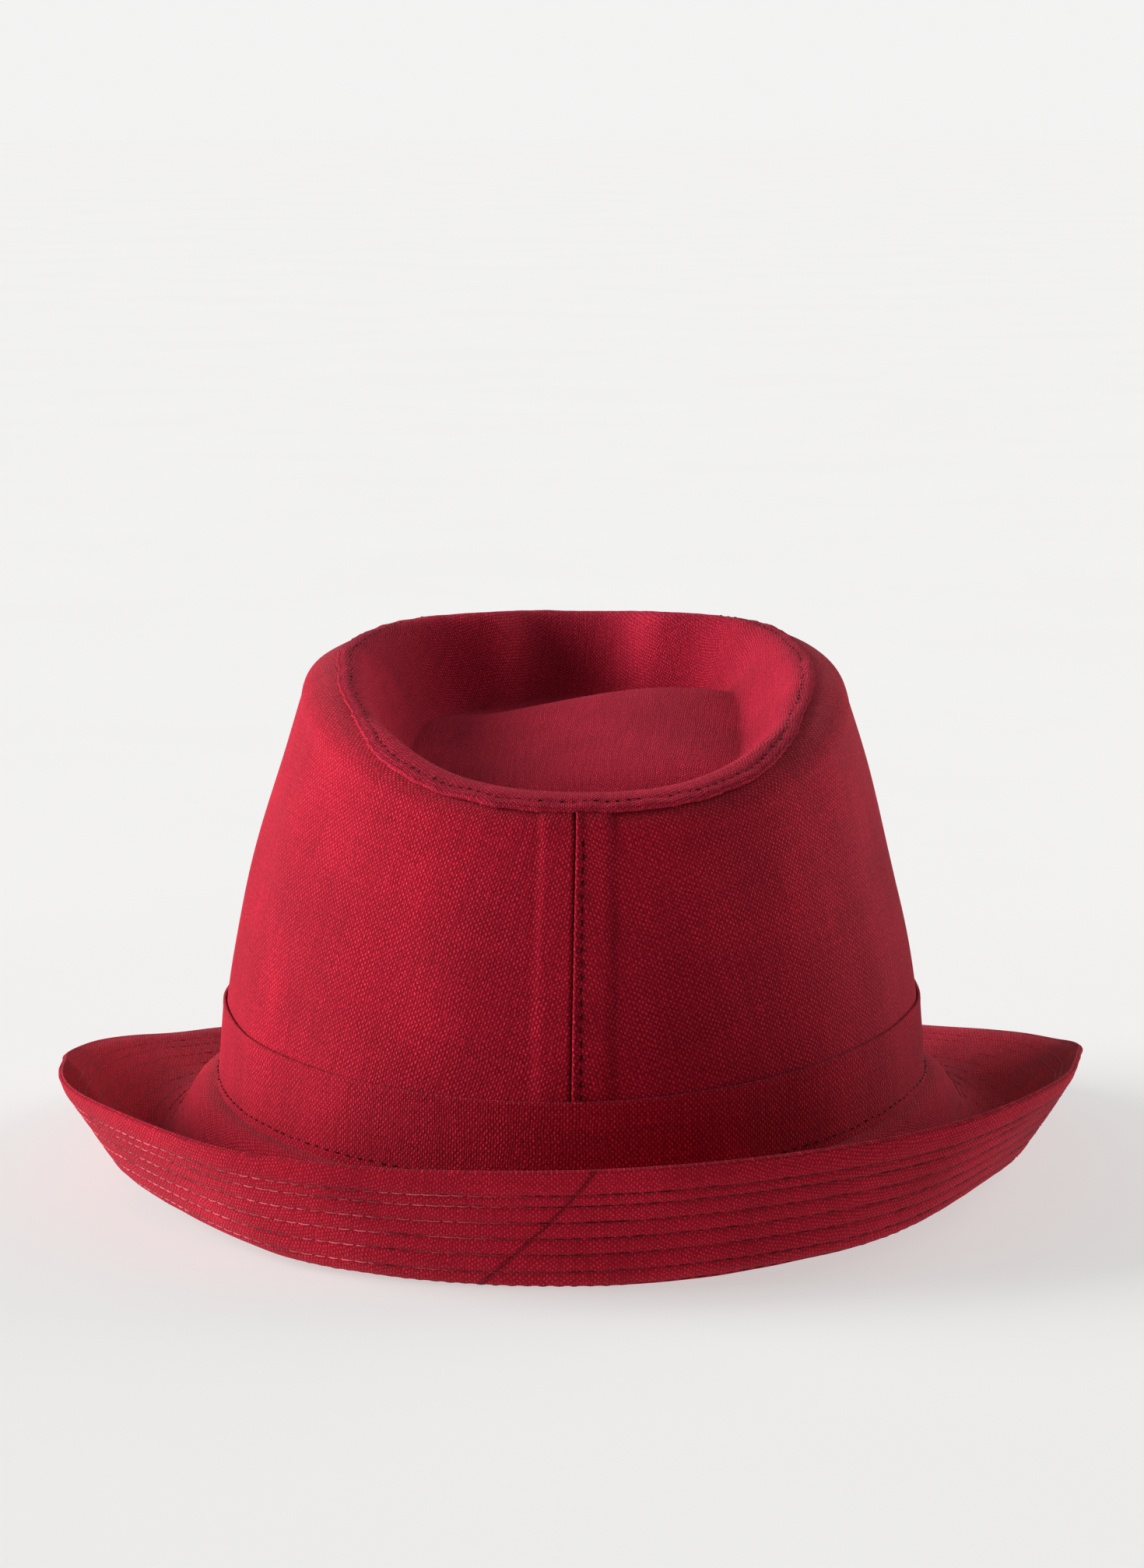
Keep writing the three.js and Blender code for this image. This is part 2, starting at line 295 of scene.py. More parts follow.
    def wall(self, deg: np.ndarray, up: np.ndarray) -> np.ndarray:
        """Outer face of the side crown.

        Args:
            deg: angles round the hat.
            up: 0 at the foot and 1 at the start of the shoulder.

        Returns:
            Points, one for each pair of angle and height.
        """
        deg, up = np.broadcast_arrays(np.asarray(deg, float), np.asarray(up, float))
        plan = blend(self.foot_at(deg), self.brink_at(deg), np.maximum(up, 0) ** self.wall_swell)
        push = np.zeros(deg.shape)
        for at, height, across, tall in self.pinches:
            push += self.pinch_depth * bell(apart(deg, at) / across) * bell((up - height) / tall)
        plan = plan - self.outward(self.brink_at, deg) * push[..., None]
        low, high = self.foot_z(deg), self.crown_height * self.around("top", deg)
        return np.concatenate([plan, (low + (high - low) * up)[..., None]], -1)

    def shoulder(self, deg: np.ndarray, turn: np.ndarray) -> np.ndarray:
        """The shoulder, which rolls in over the wall.

        Args:
            deg: angles round the hat.
            turn: 0 degrees at the wall and 90 at the crest.

        Returns:
            Points, one for each pair of angle and turn.
        """
        deg, turn = np.broadcast_arrays(np.asarray(deg, float), np.asarray(turn, float))
        at = self.wall(deg, 1.0)
        turn = np.radians(turn)
        inward = -self.outward(self.brink_at, deg) * (self.shoulder_in * (1 - np.cos(turn)))[..., None]
        up = self.shoulder_up * np.sin(turn)
        return np.concatenate([at[..., :2] + inward, (at[..., 2] + up)[..., None]], -1)

    def crease(self, deg: np.ndarray, inwards: np.ndarray) -> np.ndarray:
        """Surface of the tip inside its rim.

        Args:
            deg: angles round the hat.
            inwards: 0 at the crest and 1 in the middle.

        Returns:
            Points, one for each pair of angle and distance.
        """
        deg, inwards = np.broadcast_arrays(np.asarray(deg, float), np.asarray(inwards, float))
        crest = self.shoulder(deg, 90)
        unpinched = replace(self, pinches=()).shoulder(deg, 90)
        centre = np.array([self.tip_shift, (self.tip_front - self.tip_back) / 2])
        lost = self.pinch_lost * smooth(inwards / self.pinch_end)
        start = blend(crest[..., :2], unpinched[..., :2], lost)
        plan = blend(start, centre, inwards)
        span = np.linalg.norm(crest[..., :2] - centre, axis=-1)
        front, back = self.shoulder(90.0, 90), self.shoulder(270.0, 90)
        level = back[2] + (front[2] - back[2]) * (plan[..., 1] - back[1]) / (front[1] - back[1])
        mound = np.zeros(deg.shape)
        for x, y, wide, long, high in self.mounds:
            dx = (plan[..., 0] - self.tip_shift) / (self.tip_width / 2) - x
            dy = plan[..., 1] / self.tip_front - y
            rising = self.mound_low + self.mound_gain * np.clip((dy / long + 1) / 2, 0, 1)
            mound += self.mound_height * high * rising * np.exp(-((dx / wide) ** 2) - (dy / long) ** 6)
        share = smooth(inwards * span / self.crease_slope)
        z = crest[..., 2] + (level - self.crease_depth + mound - crest[..., 2]) * share
        return np.concatenate([plan, z[..., None]], -1)

    def facing(self, surface: Callable, deg: np.ndarray, place: np.ndarray, step: float) -> np.ndarray:
        """Outward direction of a surface.

        Args:
            surface: the wall, the shoulder or the crease.
            deg: angles round the hat.
            place: the surface's second value at each point.
            step: how far either side of it the surface is compared.

        Returns:
            One direction for each point.
        """
        across = surface(deg + 0.5, place) - surface(deg - 0.5, place)
        along = surface(deg, place + step) - surface(deg, place - step)
        return unit(np.cross(across, along))

    def band_share(self, deg: np.ndarray) -> np.ndarray:
        """Share of the wall's height that the band covers."""
        return self.band_width / np.linalg.norm(self.wall(deg, 0.0) - self.wall(deg, 1.0), axis=-1)

    def brim(self, deg: np.ndarray, place: np.ndarray, depth: np.ndarray) -> np.ndarray:
        """A layer of the brim.

        Args:
            deg: one angle for each station.
            place: distances over the cloth from the band, one for each row.
            depth: how far the layer lies under the brim's upper face, one for each row.

        Returns:
            Points by station and row.
        """
        step = self.brim_step
        deg, place = np.asarray(deg, float)[:, None], np.asarray(place, float)
        count = int(round((self.brim_margin + self.brim_width) / step)) + 8
        s = (np.arange(count) + 0.5) * step
        turn_at = self.brim_margin + self.around("turn", deg) * self.brim_width
        fall = smooth((s - self.brim_margin) / self.brim_start)
        rise = smooth((s - turn_at) / self.brim_bend + 0.5)
        slope = self.around("rise", deg) * rise - self.around("fall", deg) * fall * (1 - rise)
        slope = np.radians(slope)
        zero = np.zeros_like(deg)
        out = np.concatenate([zero, np.cumsum(step * np.cos(slope), 1)], 1) - self.side_wall
        up = np.concatenate([zero, np.cumsum(step * np.sin(slope), 1)], 1) + self.foot_z(deg) - self.gap
        where = (place + self.brim_margin) / step
        first = np.clip(np.floor(where).astype(int), 0, count - 1)
        course = (out, up, np.concatenate([zero, slope], 1))
        o, z, a = (g[:, first] + (g[:, first + 1] - g[:, first]) * (where - first) for g in course)
        for at, wide, further, higher in self.swells:
            near = bell(apart(deg, at) / wide) * smooth(place / self.swell_reach)
            o, z = o + further * near, z + higher * near
        under = z - (2 * self.brim_layer + self.gap) * np.cos(a)
        low = np.clip(under / (2 * self.brim_flat), 0, 1)
        hangs = np.where(low < 1, under - 2 * self.brim_flat * low**2 * (2 - low), 0.0)
        o, z = o + depth * np.sin(a), z - depth * np.cos(a) - hangs
        plan = self.foot_at(deg) + self.outward(self.foot_at, deg) * o[..., None]
        return np.concatenate([plan, z[..., None]], -1)

    def soften(self, points: np.ndarray) -> np.ndarray:
        """Move points as slack cloth moves: layers that lie on each other move together.

        Args:
            points: points of a piece, on the hat's own middle.

        Returns:
            The moved points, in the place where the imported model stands.
        """
        outward = unit(points * [1, 1, 0] + [0, 0, 1e-6]) + [0, 0, self.slack_up]
        free = smooth(points[..., 2] / self.slack_from)
        moved = points + outward * (self.slack * self.ripple.over(points) * free)[..., None]
        return moved - np.array(self.middle)


@dataclass(frozen=True)
class Sheet:
    """A closed wall of cloth: its face, its back, and where each point lies on the flat cloth."""

    name: str
    face: np.ndarray
    back: np.ndarray
    flat: np.ndarray
    sunk: np.ndarray
    ring: bool = False
    pole: bool = False

    ROUND_POINTS = (45, 90, 135)

    def _edge(self, row: int, inner: int) -> np.ndarray:
        """Points that round off an edge from the face to the back.

        Args:
            row: the edge's row.
            inner: the row beside it.

        Returns:
            Points by station.
        """
        f, b = self.face[:, row], self.back[:, row]
        middle, half = (f + b) / 2, (f - b) / 2
        ahead = unit(f - self.face[:, inner] + b - self.back[:, inner])
        ahead = ahead * np.linalg.norm(half, axis=-1, keepdims=True)
        turns = [math.radians(a) for a in self.ROUND_POINTS]
        return np.stack([middle + half * math.cos(a) + ahead * math.sin(a) for a in turns], 1)

    def _edge_flat(self, row: int, inner: int) -> np.ndarray:
        """Places on the flat cloth of the points that round off an edge.

        Args:
            row: the edge's row.
            inner: the row beside it.

        Returns:
            Places by station.
        """
        half = np.linalg.norm(self.face[:, row] - self.back[:, row], axis=-1).mean() / 2
        away = unit(self.flat[:, row] - self.flat[:, inner])
        reach = [half * math.radians(min(a, 180 - a)) for a in self.ROUND_POINTS]
        return np.stack([self.flat[:, row] + away * r for r in reach], 1)

    def build(self) -> bpy.types.Object:
        """Mesh the sheet.

        Returns:
            An object at the origin with a UV map of distances over the flat cloth.
        """
        n, m = self.face.shape[:2]
        k = len(self.ROUND_POINTS)
        first, last = self._edge(0, 1), self._edge(m - 1, m - 2)
        flat_first, flat_last = self._edge_flat(0, 1), self._edge_flat(m - 1, m - 2)
        if self.pole:
            loop = [self.back[:, -2::-1], first[:, ::-1], self.face[:, :-1]]
            flat = [self.flat[:, -2::-1], flat_first, self.flat[:, :-1]]
        else:
            loop = [self.face, last, self.back[:, ::-1], first[:, ::-1]]
            flat = [self.flat, flat_last, self.flat[:, ::-1], flat_first]
        profile, flat_grid = np.concatenate(loop, 1), np.concatenate(flat, 1)
        p = profile.shape[1]
        spans = n if self.ring else n - 1
        hops = p - 1 if self.pole else p
        i, j = np.meshgrid(np.arange(spans), np.arange(hops), indexing="ij")
        i, j = i.ravel(), j.ravel()
        corners = [(i, j), (i + 1, j), (i + 1, (j + 1) % p), (i, (j + 1) % p)]
        quads = np.stack([(a % n) * p + b for a, b in corners], 1)
        spots = np.stack([flat_grid[a, b] for a, b in corners], 1)
        points = profile.reshape(-1, 3)
        faces, uvs = quads.tolist(), list(spots.reshape(-1, 2))
        if self.pole:
            self._close_poles(points, faces, uvs, n, p, flat_grid)
            points = np.concatenate([points, self.back[:1, -1], self.face[:1, -1]])
        elif not self.ring:
            self._close_ends(faces, uvs, n, m, p, flat_grid)
        mesh = bpy.data.meshes.new(self.name)
        mesh.from_pydata((points * MM).tolist(), [], faces)
        layer = mesh.uv_layers.new(name=CLOTH_UV)
        layer.data.foreach_set("uv", (np.array(uvs) * UV_PER_MM).astype(np.float32).ravel())
        attribute = mesh.attributes.new(SUNK, "FLOAT", "POINT")
        depth = self._spread_sunk(n, m, k)[: len(points)]
        attribute.data.foreach_set("value", depth.astype(np.float32))
        mesh.shade_smooth()
        mesh.update()
        piece = placed(self.name, mesh)
        face_outwards(piece)
        return piece

    def _spread_sunk(self, n: int, m: int, k: int) -> np.ndarray:
        """How deep the cloth is sewn in at each mesh point, where its shader dents it and paints shade.

        Args:
            n: number of stations.
            m: number of rows on the face.
            k: number of points that round off an edge.

        Returns:
            Depths, with two more for the middles of a sheet with poles.
        """
        sunk = np.broadcast_to(self.sunk, (n, m))
        none = np.zeros((n, k))
        if self.pole:
            parts = [sunk[:, -2::-1], none, sunk[:, :-1]]
        else:
            parts = [sunk, none, sunk[:, ::-1], none]
        return np.concatenate([np.concatenate(parts, 1).ravel(), [0.0, 0.0]])

    def _close_poles(
        self, points: np.ndarray, faces: list, uvs: list, n: int, p: int, flat: np.ndarray
    ) -> None:
        """Add the fans round the middle of the back and of the face.

        Args:
            points: the mesh's points so far.
            faces: the mesh's faces, which grow.
            uvs: places of their corners, which grow.
            n: number of stations.
            p: number of points round a section.
            flat: places of the points on the flat cloth.
        """
        centre = self.flat[0, -1]
        for column, pole, turn in ((0, len(points), 1), (p - 1, len(points) + 1, -1)):
            for i in range(n):
                a, b = (i, i + 1) if turn < 0 else (i + 1, i)
                faces.append([(a % n) * p + column, (b % n) * p + column, pole])
                uvs += [flat[min(a, n - 1), column], flat[min(b, n - 1), column], centre]

    def _close_ends(self, faces: list, uvs: list, n: int, m: int, p: int, flat: np.ndarray) -> None:
        """Add the ladders of faces that close the first and the last station.

        Args:
            faces: the mesh's faces, which grow.
            uvs: places of their corners, which grow.
            n: number of stations.
            m: number of rows on the face.
            p: number of points round a section.
            flat: places of the points on the flat cloth.
        """
        k = len(self.ROUND_POINTS)
        face_side = [*range(p - k // 2 - 1, p), *range(m), *range(m, m + k // 2 + 1)]
        back_side = [(2 * m + k - 1 - j) % p for j in face_side]
        for station, turn in ((0, 1), (n - 1, -1)):
            for rung in zip(face_side, face_side[1:], back_side[1:], back_side):
                ladder = list(dict.fromkeys(rung))[::turn]
                faces.append([station * p + v for v in ladder])
                uvs += [flat[station, v] for v in ladder]


def face_outwards(piece: bpy.types.Object) -> None:
    """Turn all faces of a closed piece round if they point inwards.

    Args:
        piece: the piece.
    """
    mesh = piece.data
    mesh.calc_loop_triangles()
    corners = np.empty(len(mesh.loop_triangles) * 3, np.int32)
    mesh.loop_triangles.foreach_get("vertices", corners)
    points = np.empty(len(mesh.vertices) * 3, np.float32)
    mesh.vertices.foreach_get("co", points)
    a, b, c = points.reshape(-1, 3)[corners.reshape(-1, 3)].astype(float).transpose(1, 0, 2)
    if np.einsum("ij,ij->i", a, np.cross(b, c)).sum() < 0:
        mesh.flip_normals()


class Nodes:
    """Short hand for building a node tree."""

    def __init__(self, tree: bpy.types.NodeTree) -> None:
        """Keep the tree."""
        self.tree = tree

    def add(self, kind: str, inputs: dict | None = None, **settings) -> bpy.types.Node:
        """Add a node.

        Args:
            kind: the node's type name.
            inputs: values or sockets for its inputs, by name or by number.
            settings: properties of the node itself.

        Returns:
            The new node.
        """
        node = self.tree.nodes.new(kind)
        for name, value in settings.items():
            setattr(node, name, value)
        for key, value in (inputs or {}).items():
            if isinstance(value, bpy.types.NodeSocket):
                self.tree.links.new(value, node.inputs[key])
            else:
                node.inputs[key].default_value = value
        return node

    def math(self, operation: str, a: Value, b: Value = 0.0, c: Value = 0.0) -> bpy.types.NodeSocket:
        """Result of a Math node."""
        return self.add("ShaderNodeMath", {0: a, 1: b, 2: c}, operation=operation).outputs[0]

    def vector(self, operation: str, a: Value, b: Value) -> bpy.types.NodeSocket:
        """Result of a Vector Math node."""
        return self.add("ShaderNodeVectorMath", {0: a, 1: b}, operation=operation).outputs[0]

    def scaled(self, vector: Value, factor: Value) -> bpy.types.NodeSocket:
        """A vector times a number."""
        return self.add("ShaderNodeVectorMath", {0: vector, "Scale": factor}, operation="SCALE").outputs[0]

    def ramp(self, value: Value, low: float, high: float, start: float = 0.0,
             end: float = 1.0) -> bpy.types.NodeSocket:
        """A value carried smoothly from one range to another."""
        inputs = {"Value": value, "From Min": low, "From Max": high, "To Min": start, "To Max": end}
        return self.add("ShaderNodeMapRange", inputs, interpolation_type="SMOOTHSTEP").outputs[0]

    def noise(self, vector: Value, scale: float, detail: float) -> bpy.types.NodeSocket:
        """Height of a Noise Texture."""
        inputs = {"Vector": vector, "Scale": scale, "Detail": detail}
        return self.add("ShaderNodeTexNoise", inputs).outputs[0]

    def mix(self, factor: Value, a: Value, b: Value, mode: str = "MIX") -> bpy.types.NodeSocket:
        """Colour of a Mix node."""
        inputs = {0: factor, 6: a, 7: b}
        return self.add("ShaderNodeMix", inputs, data_type="RGBA", blend_type=mode).outputs[2]


def rgba(red: float, green: float, blue: float) -> tuple[float, float, float, float]:
    """A solid colour in linear light."""
    return (red, green, blue, 1.0)


@dataclass(frozen=True)
class Canvas:
    """Heavy plain-woven cotton, dyed red.

    pitch_u and pitch_v are the distances between threads in mm, lift is how far a thread stands up
    in mm, and bold is how much painted shade darkens the hollows between threads.
    """

    name: str
    slot: Slot
    colour: tuple = rgba(0.55, 0.0135, 0.043)
    pitch_u: float = 0.67
    pitch_v: float = 0.63
    lift: float = 0.25
    bold: float = 0.57
    slub: float = 0.3
    rough: float = 0.95
    sheen: float = 0.12
    grain: float = 0.0
    weft: float = 0.42
    joins: tuple = ()

    WANDERS = ((0.14, 1.6), (0.9, 0.3))  # scale of each wandering of the threads, and its reach in mm
    SLUBS = (1.3, 0.05)  # threads to one thickness, and how slowly it changes along them
    JOIN_WIDTH = 1.1
    JOIN_END = (-62.0, -58.0)  # where a join fades out, in mm on the flat cloth from back to front

    def _thread(self, nodes: Nodes, across: Value, along: Value, way: float) -> bpy.types.NodeSocket:
        """Height of one set of threads as they pass over and under the other set.

        Args:
            nodes: the material's nodes.
            across: wave across the threads, 1 or -1 in the middle of each.
            along: wave along the threads.
            way: 0.5 for one set and -0.5 for the other, which is up where the first is down.

        Returns:
            Height from 0 to 1.
        """
        round_top = nodes.math("POWER", nodes.math("ABSOLUTE", across), 0.7)
        sway = nodes.math("MULTIPLY", nodes.math("SIGN", across), along)
        return nodes.math("MULTIPLY", round_top, nodes.math("MULTIPLY_ADD", sway, way, 0.5))

    def _joins(self, nodes: Nodes, turned: Value) -> bpy.types.NodeSocket | None:
        """Closeness to the lines where the cloth is joined.

        Args:
            nodes: the material's nodes.
            turned: place on the flat cloth, in mm.

        Returns:
            1 on a line and 0 away from it, or None where the cloth has no join.
        """
        near = None
        split = nodes.add("ShaderNodeSeparateXYZ", {0: turned})
        for (x0, y0), (x1, y1) in self.joins:
            length = math.hypot(x1 - x0, y1 - y0)
            a, b = (y1 - y0) / length, -(x1 - x0) / length
            side = nodes.math("MULTIPLY_ADD", split.outputs[0], a, -a * x0 - b * y0)
            side = nodes.math("MULTIPLY_ADD", split.outputs[1], b, side)
            line = nodes.ramp(nodes.math("ABSOLUTE", side), 0.0, self.JOIN_WIDTH, 1.0, 0.0)
            half = nodes.ramp(split.outputs[1], *self.JOIN_END, 1.0, 0.0)
            line = nodes.math("MULTIPLY", line, half)
            near = line if near is None else nodes.math("MAXIMUM", near, line)
        return near

    def material(self) -> bpy.types.Material:
        """Build the material.

        Returns:
            A material that reads the cloth's own UV map.
        """
        made = bpy.data.materials.new(self.name)
        made.use_nodes = True
        nodes = Nodes(made.node_tree)
        made.node_tree.nodes.clear()
        cloth = nodes.add("ShaderNodeUVMap", uv_map=CLOTH_UV).outputs[0]
        turned = nodes.add(
            "ShaderNodeMapping", {"Vector": cloth, "Rotation": (0, 0, self.grain), "Scale": (100, 100, 1)}
        ).outputs[0]
        place = turned
        for scale, reach in self.WANDERS:
            noise = nodes.add("ShaderNodeTexNoise", {"Vector": turned, "Scale": scale, "Detail": 1.0})
            stray = nodes.vector("SUBTRACT", noise.outputs[1], (0.5, 0.5, 0.5))
            place = nodes.vector("ADD", place, nodes.scaled(stray, reach))
        split = nodes.add("ShaderNodeSeparateXYZ", {0: place})
        u, v = split.outputs[0], split.outputs[1]
        cu = nodes.math("COSINE", nodes.math("MULTIPLY", u, math.pi / self.pitch_u))
        cv = nodes.math("COSINE", nodes.math("MULTIPLY", v, math.pi / self.pitch_v))
        over = nodes.ramp(nodes.math("MULTIPLY", cu, cv), -0.1, 0.1)
        warp = self._thread(nodes, cu, cv, 0.5)
        weft = nodes.math("MULTIPLY", self._thread(nodes, cv, cu, -0.5), self.weft)
        wide, slow = self.SLUBS
        warp_at = {0: nodes.math("DIVIDE", u, self.pitch_u * wide), 1: nodes.math("MULTIPLY", v, slow)}
        weft_at = {0: nodes.math("MULTIPLY", u, slow), 1: nodes.math("DIVIDE", v, self.pitch_v * wide), 2: 7.0}
        warp_slub = nodes.noise(nodes.add("ShaderNodeCombineXYZ", warp_at).outputs[0], 1.0, 1.0)
        weft_slub = nodes.noise(nodes.add("ShaderNodeCombineXYZ", weft_at).outputs[0], 1.0, 1.0)
        height = nodes.math("SMOOTH_MAX", warp, weft, 0.12)
        slub = nodes.math("ADD", nodes.math("MULTIPLY", warp_slub, over),
                          nodes.math("MULTIPLY", weft_slub, nodes.math("SUBTRACT", 1.0, over)))
        slub = nodes.ramp(slub, 0.3, 0.7, 1 - self.slub, 1 + self.slub * 0.5)
        grit = nodes.ramp(nodes.noise(turned, 0.8 / self.pitch_u, 1.0), 0.3, 0.7, 0.6, 1.25)
        height = nodes.math("MULTIPLY", nodes.math("MULTIPLY", height, slub), grit)
        fuzz = nodes.noise(turned, 5.0, 3.0)
        height = nodes.math("ADD", height, nodes.math("MULTIPLY", fuzz, 0.35))
        here = nodes.add("ShaderNodeTexCoord").outputs["Object"]
        patch = nodes.noise(here, 34.0, 4.0)
        # Painted shade and highlight of the weave: the hollows between threads are darker and the threads'
        # tops lighter. The patches of tone after it are the cloth's own.
        shade_and_tone = nodes.ramp(height, 0.15, 1.0, 1 - self.bold, 1.22)
        shade_and_tone = nodes.math("MULTIPLY", shade_and_tone, nodes.ramp(patch, 0.3, 0.7, 0.86, 1.1))
        # Painted shade where the cloth is sewn in: seams, stitch grooves, hem edges and the under layer's
        # join.
        sunk = nodes.add("ShaderNodeAttribute", attribute_name=SUNK).outputs["Fac"]
        joined = self._joins(nodes, turned)
        if joined is not None:
            sunk = nodes.math("MAXIMUM", sunk, joined)
        shade_and_tone = nodes.math("MULTIPLY", shade_and_tone, nodes.math("MULTIPLY_ADD", sunk, -0.5, 1.0))
        grey = nodes.add("ShaderNodeCombineColor", {0: shade_and_tone, 1: shade_and_tone, 2: shade_and_tone}).outputs[0]
        # Painted highlight: the tops of the threads turn paler, as where light catches them.
        top_highlight = nodes.math("MULTIPLY", nodes.ramp(height, 0.7, 1.15), 0.55)
        dyed = nodes.mix(top_highlight, self.colour, rgba(*(min(1, c * 1.35 + 0.022) for c in self.colour[:3])))
        colour = nodes.mix(1.0, dyed, grey, "MULTIPLY")
        loose = nodes.math("SUBTRACT", nodes.noise(here, 230.0, 2.0), nodes.math("MULTIPLY", sunk, 0.7))
        soft = nodes.add("ShaderNodeBump", {"Height": loose, "Strength": 0.35, "Distance": 0.0006})
        bump = nodes.add(
            "ShaderNodeBump",
            {"Height": height, "Strength": 0.9, "Distance": self.lift * MM, "Normal": soft.outputs[0]},
        )
        shader = nodes.add(
            "ShaderNodeBsdfPrincipled",
            {
                "Base Color": colour,
                "Normal": bump.outputs[0],
                "Roughness": self.rough,
                "Specular IOR Level": 0.08,
                "Sheen Weight": self.sheen,
                "Sheen Roughness": 0.5,
                "Sheen Tint": rgba(1.0, 0.7, 0.75),
            },
        )
        nodes.add("ShaderNodeOutputMaterial", {0: shader.outputs[0]})
        return made


@dataclass(frozen=True)
class Thread:
    """Sewing thread, with a twist that shows as a fine slanting rib.

    The second colour, where one is given, is its colour on the hat's left side, where it differs there:
    painted light from the key light on that side.
    """

    name: str
    colour: tuple
    lit_side_colour: tuple | None = None
    rough: float = 0.6

    def material(self) -> bpy.types.Material:
        """Build the material.

        Returns:
            The thread's material.
        """
        made = bpy.data.materials.new(self.name)
        made.use_nodes = True
        nodes = Nodes(made.node_tree)
        made.node_tree.nodes.clear()
        here = nodes.add("ShaderNodeTexCoord").outputs["Object"]
        ribs = {"Vector": here, "Scale": 900.0, "Distortion": 1.5}
        twist = nodes.add("ShaderNodeTexWave", ribs, bands_direction="DIAGONAL").outputs[1]
        tone = nodes.noise(here, 60.0, 3.0)
        dark = rgba(*(c * 0.35 for c in self.colour[:3]))
        colour = self.colour
        # Painted light: the thread is drawn lighter on the hat's left side, where the key light falls.
        if self.lit_side_colour is not None:
            across = nodes.add("ShaderNodeSeparateXYZ", {0: here}).outputs[0]
            colour = nodes.mix(nodes.ramp(across, -0.06, 0.0), self.lit_side_colour, self.colour)
        colour = nodes.mix(nodes.ramp(tone, 0.3, 0.7), dark, colour)
        bump = nodes.add("ShaderNodeBump", {"Height": twist, "Strength": 0.5, "Distance": 0.00008})
        shader = nodes.add(
            "ShaderNodeBsdfPrincipled",
            {
                "Base Color": colour,
                "Normal": bump.outputs[0],
                "Roughness": self.rough,
                "Specular IOR Level": 0.15,
            },
        )
        nodes.add("ShaderNodeOutputMaterial", {0: shader.outputs[0]})
        return made


def dress(piece: bpy.types.Object, material: bpy.types.Material, slot: Slot, *nodes: str) -> None:
    """Give a piece its finish and its body, and hide the solids it stands for.

    Args:
        piece: the finished piece.
        material: its finish.
        slot: the record's slot that the finish belongs to; not used.
        nodes: the CAD nodes that it replaces.
    """
    if material.name not in piece.data.materials:
        piece.data.materials.append(material)
    if nodes:
        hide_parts(*nodes)
    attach(piece, BODY)
    log.info("%s: %d faces, stands for %s", piece.name, len(piece.data.polygons), nodes or "no solid")


class GeometryTree:
    """A Geometry Nodes tree with named inputs, and its use on an object."""

    def __init__(self, name: str, inputs: dict[str, tuple[str, object]]) -> None:
        """Start a tree.

        Args:
            name: the tree's name.
            inputs: socket type and value of each named input.
        """
        self.tree = bpy.data.node_groups.new(name, "GeometryNodeTree")
        face = self.tree.interface
        face.new_socket("Geometry", in_out="INPUT", socket_type="NodeSocketGeometry")
        face.new_socket("Geometry", in_out="OUTPUT", socket_type="NodeSocketGeometry")
        self.identifiers: dict[str, str] = {}
        for label, (kind, value) in inputs.items():
            socket = face.new_socket(label, in_out="INPUT", socket_type=kind)
            if value is not None:
                socket.default_value = value
            self.identifiers[label] = socket.identifier
        self.nodes = Nodes(self.tree)
        self.given = self.nodes.add("NodeGroupInput")

    def end(self, geometry: bpy.types.NodeSocket) -> None:
        """Close the tree with smooth shading, real geometry and its material.

        Args:
            geometry: what the tree has made.
        """
        real = self.nodes.add("GeometryNodeRealizeInstances", {0: geometry}).outputs[0]
        shaded = self.nodes.add("GeometryNodeSetShadeSmooth", {0: real}).outputs[0]
        last = self.nodes.add(
            "GeometryNodeSetMaterial", {"Geometry": shaded, "Material": self.given.outputs["Material"]}
        ).outputs[0]
        self.nodes.add("NodeGroupOutput", {0: last})

    def run(self, guide: bpy.types.Object, values: dict[str, object], name: str) -> bpy.types.Object:
        """Run the tree on a guide and keep the result as a plain mesh.

        Args:
            guide: the object that carries the guide mesh, deleted afterwards.
            values: values of the named inputs.
            name: name of the finished piece.

        Returns:
            The finished piece, at the origin, with no modifier.
        """
        modifier = guide.modifiers.new("made", "NODES")
        modifier.node_group = self.tree
        for label, value in values.items():
            modifier[self.identifiers[label]] = value
        bpy.context.view_layer.update()
        evaluated = guide.evaluated_get(bpy.context.evaluated_depsgraph_get())
        mesh = bpy.data.meshes.new_from_object(evaluated)
        mesh.name = name
        piece = placed(name, mesh)
        guide.modifiers.remove(modifier)
        old = guide.data
        bpy.data.objects.remove(guide)
        bpy.data.meshes.remove(old)
        return piece


def guide_object(name: str, runs: list, closed: bool, vectors: dict[str, list]) -> bpy.types.Object:
    """An object of plain edges that a tree follows.

    Args:
        name: its name.
        runs: points of each line, in mm.
        closed: whether each line ends where it starts.
        vectors: vector attributes, as one array for each line.

    Returns:
        The new object.
    """
    edges, start = [], 0
    for run in runs:
        count = len(run)
        edges += [(start + i, start + (i + 1) % count) for i in range(count if closed else count - 1)]
        start += count
    mesh = bpy.data.meshes.new(name)
    mesh.from_pydata((np.concatenate(runs) * MM).tolist(), edges, [])
    for label, parts in vectors.items():
        attribute = mesh.attributes.new(label, "FLOAT_VECTOR", "POINT")
        attribute.data.foreach_set("vector", np.concatenate(parts).astype(np.float32).ravel())
    return placed(name, mesh)


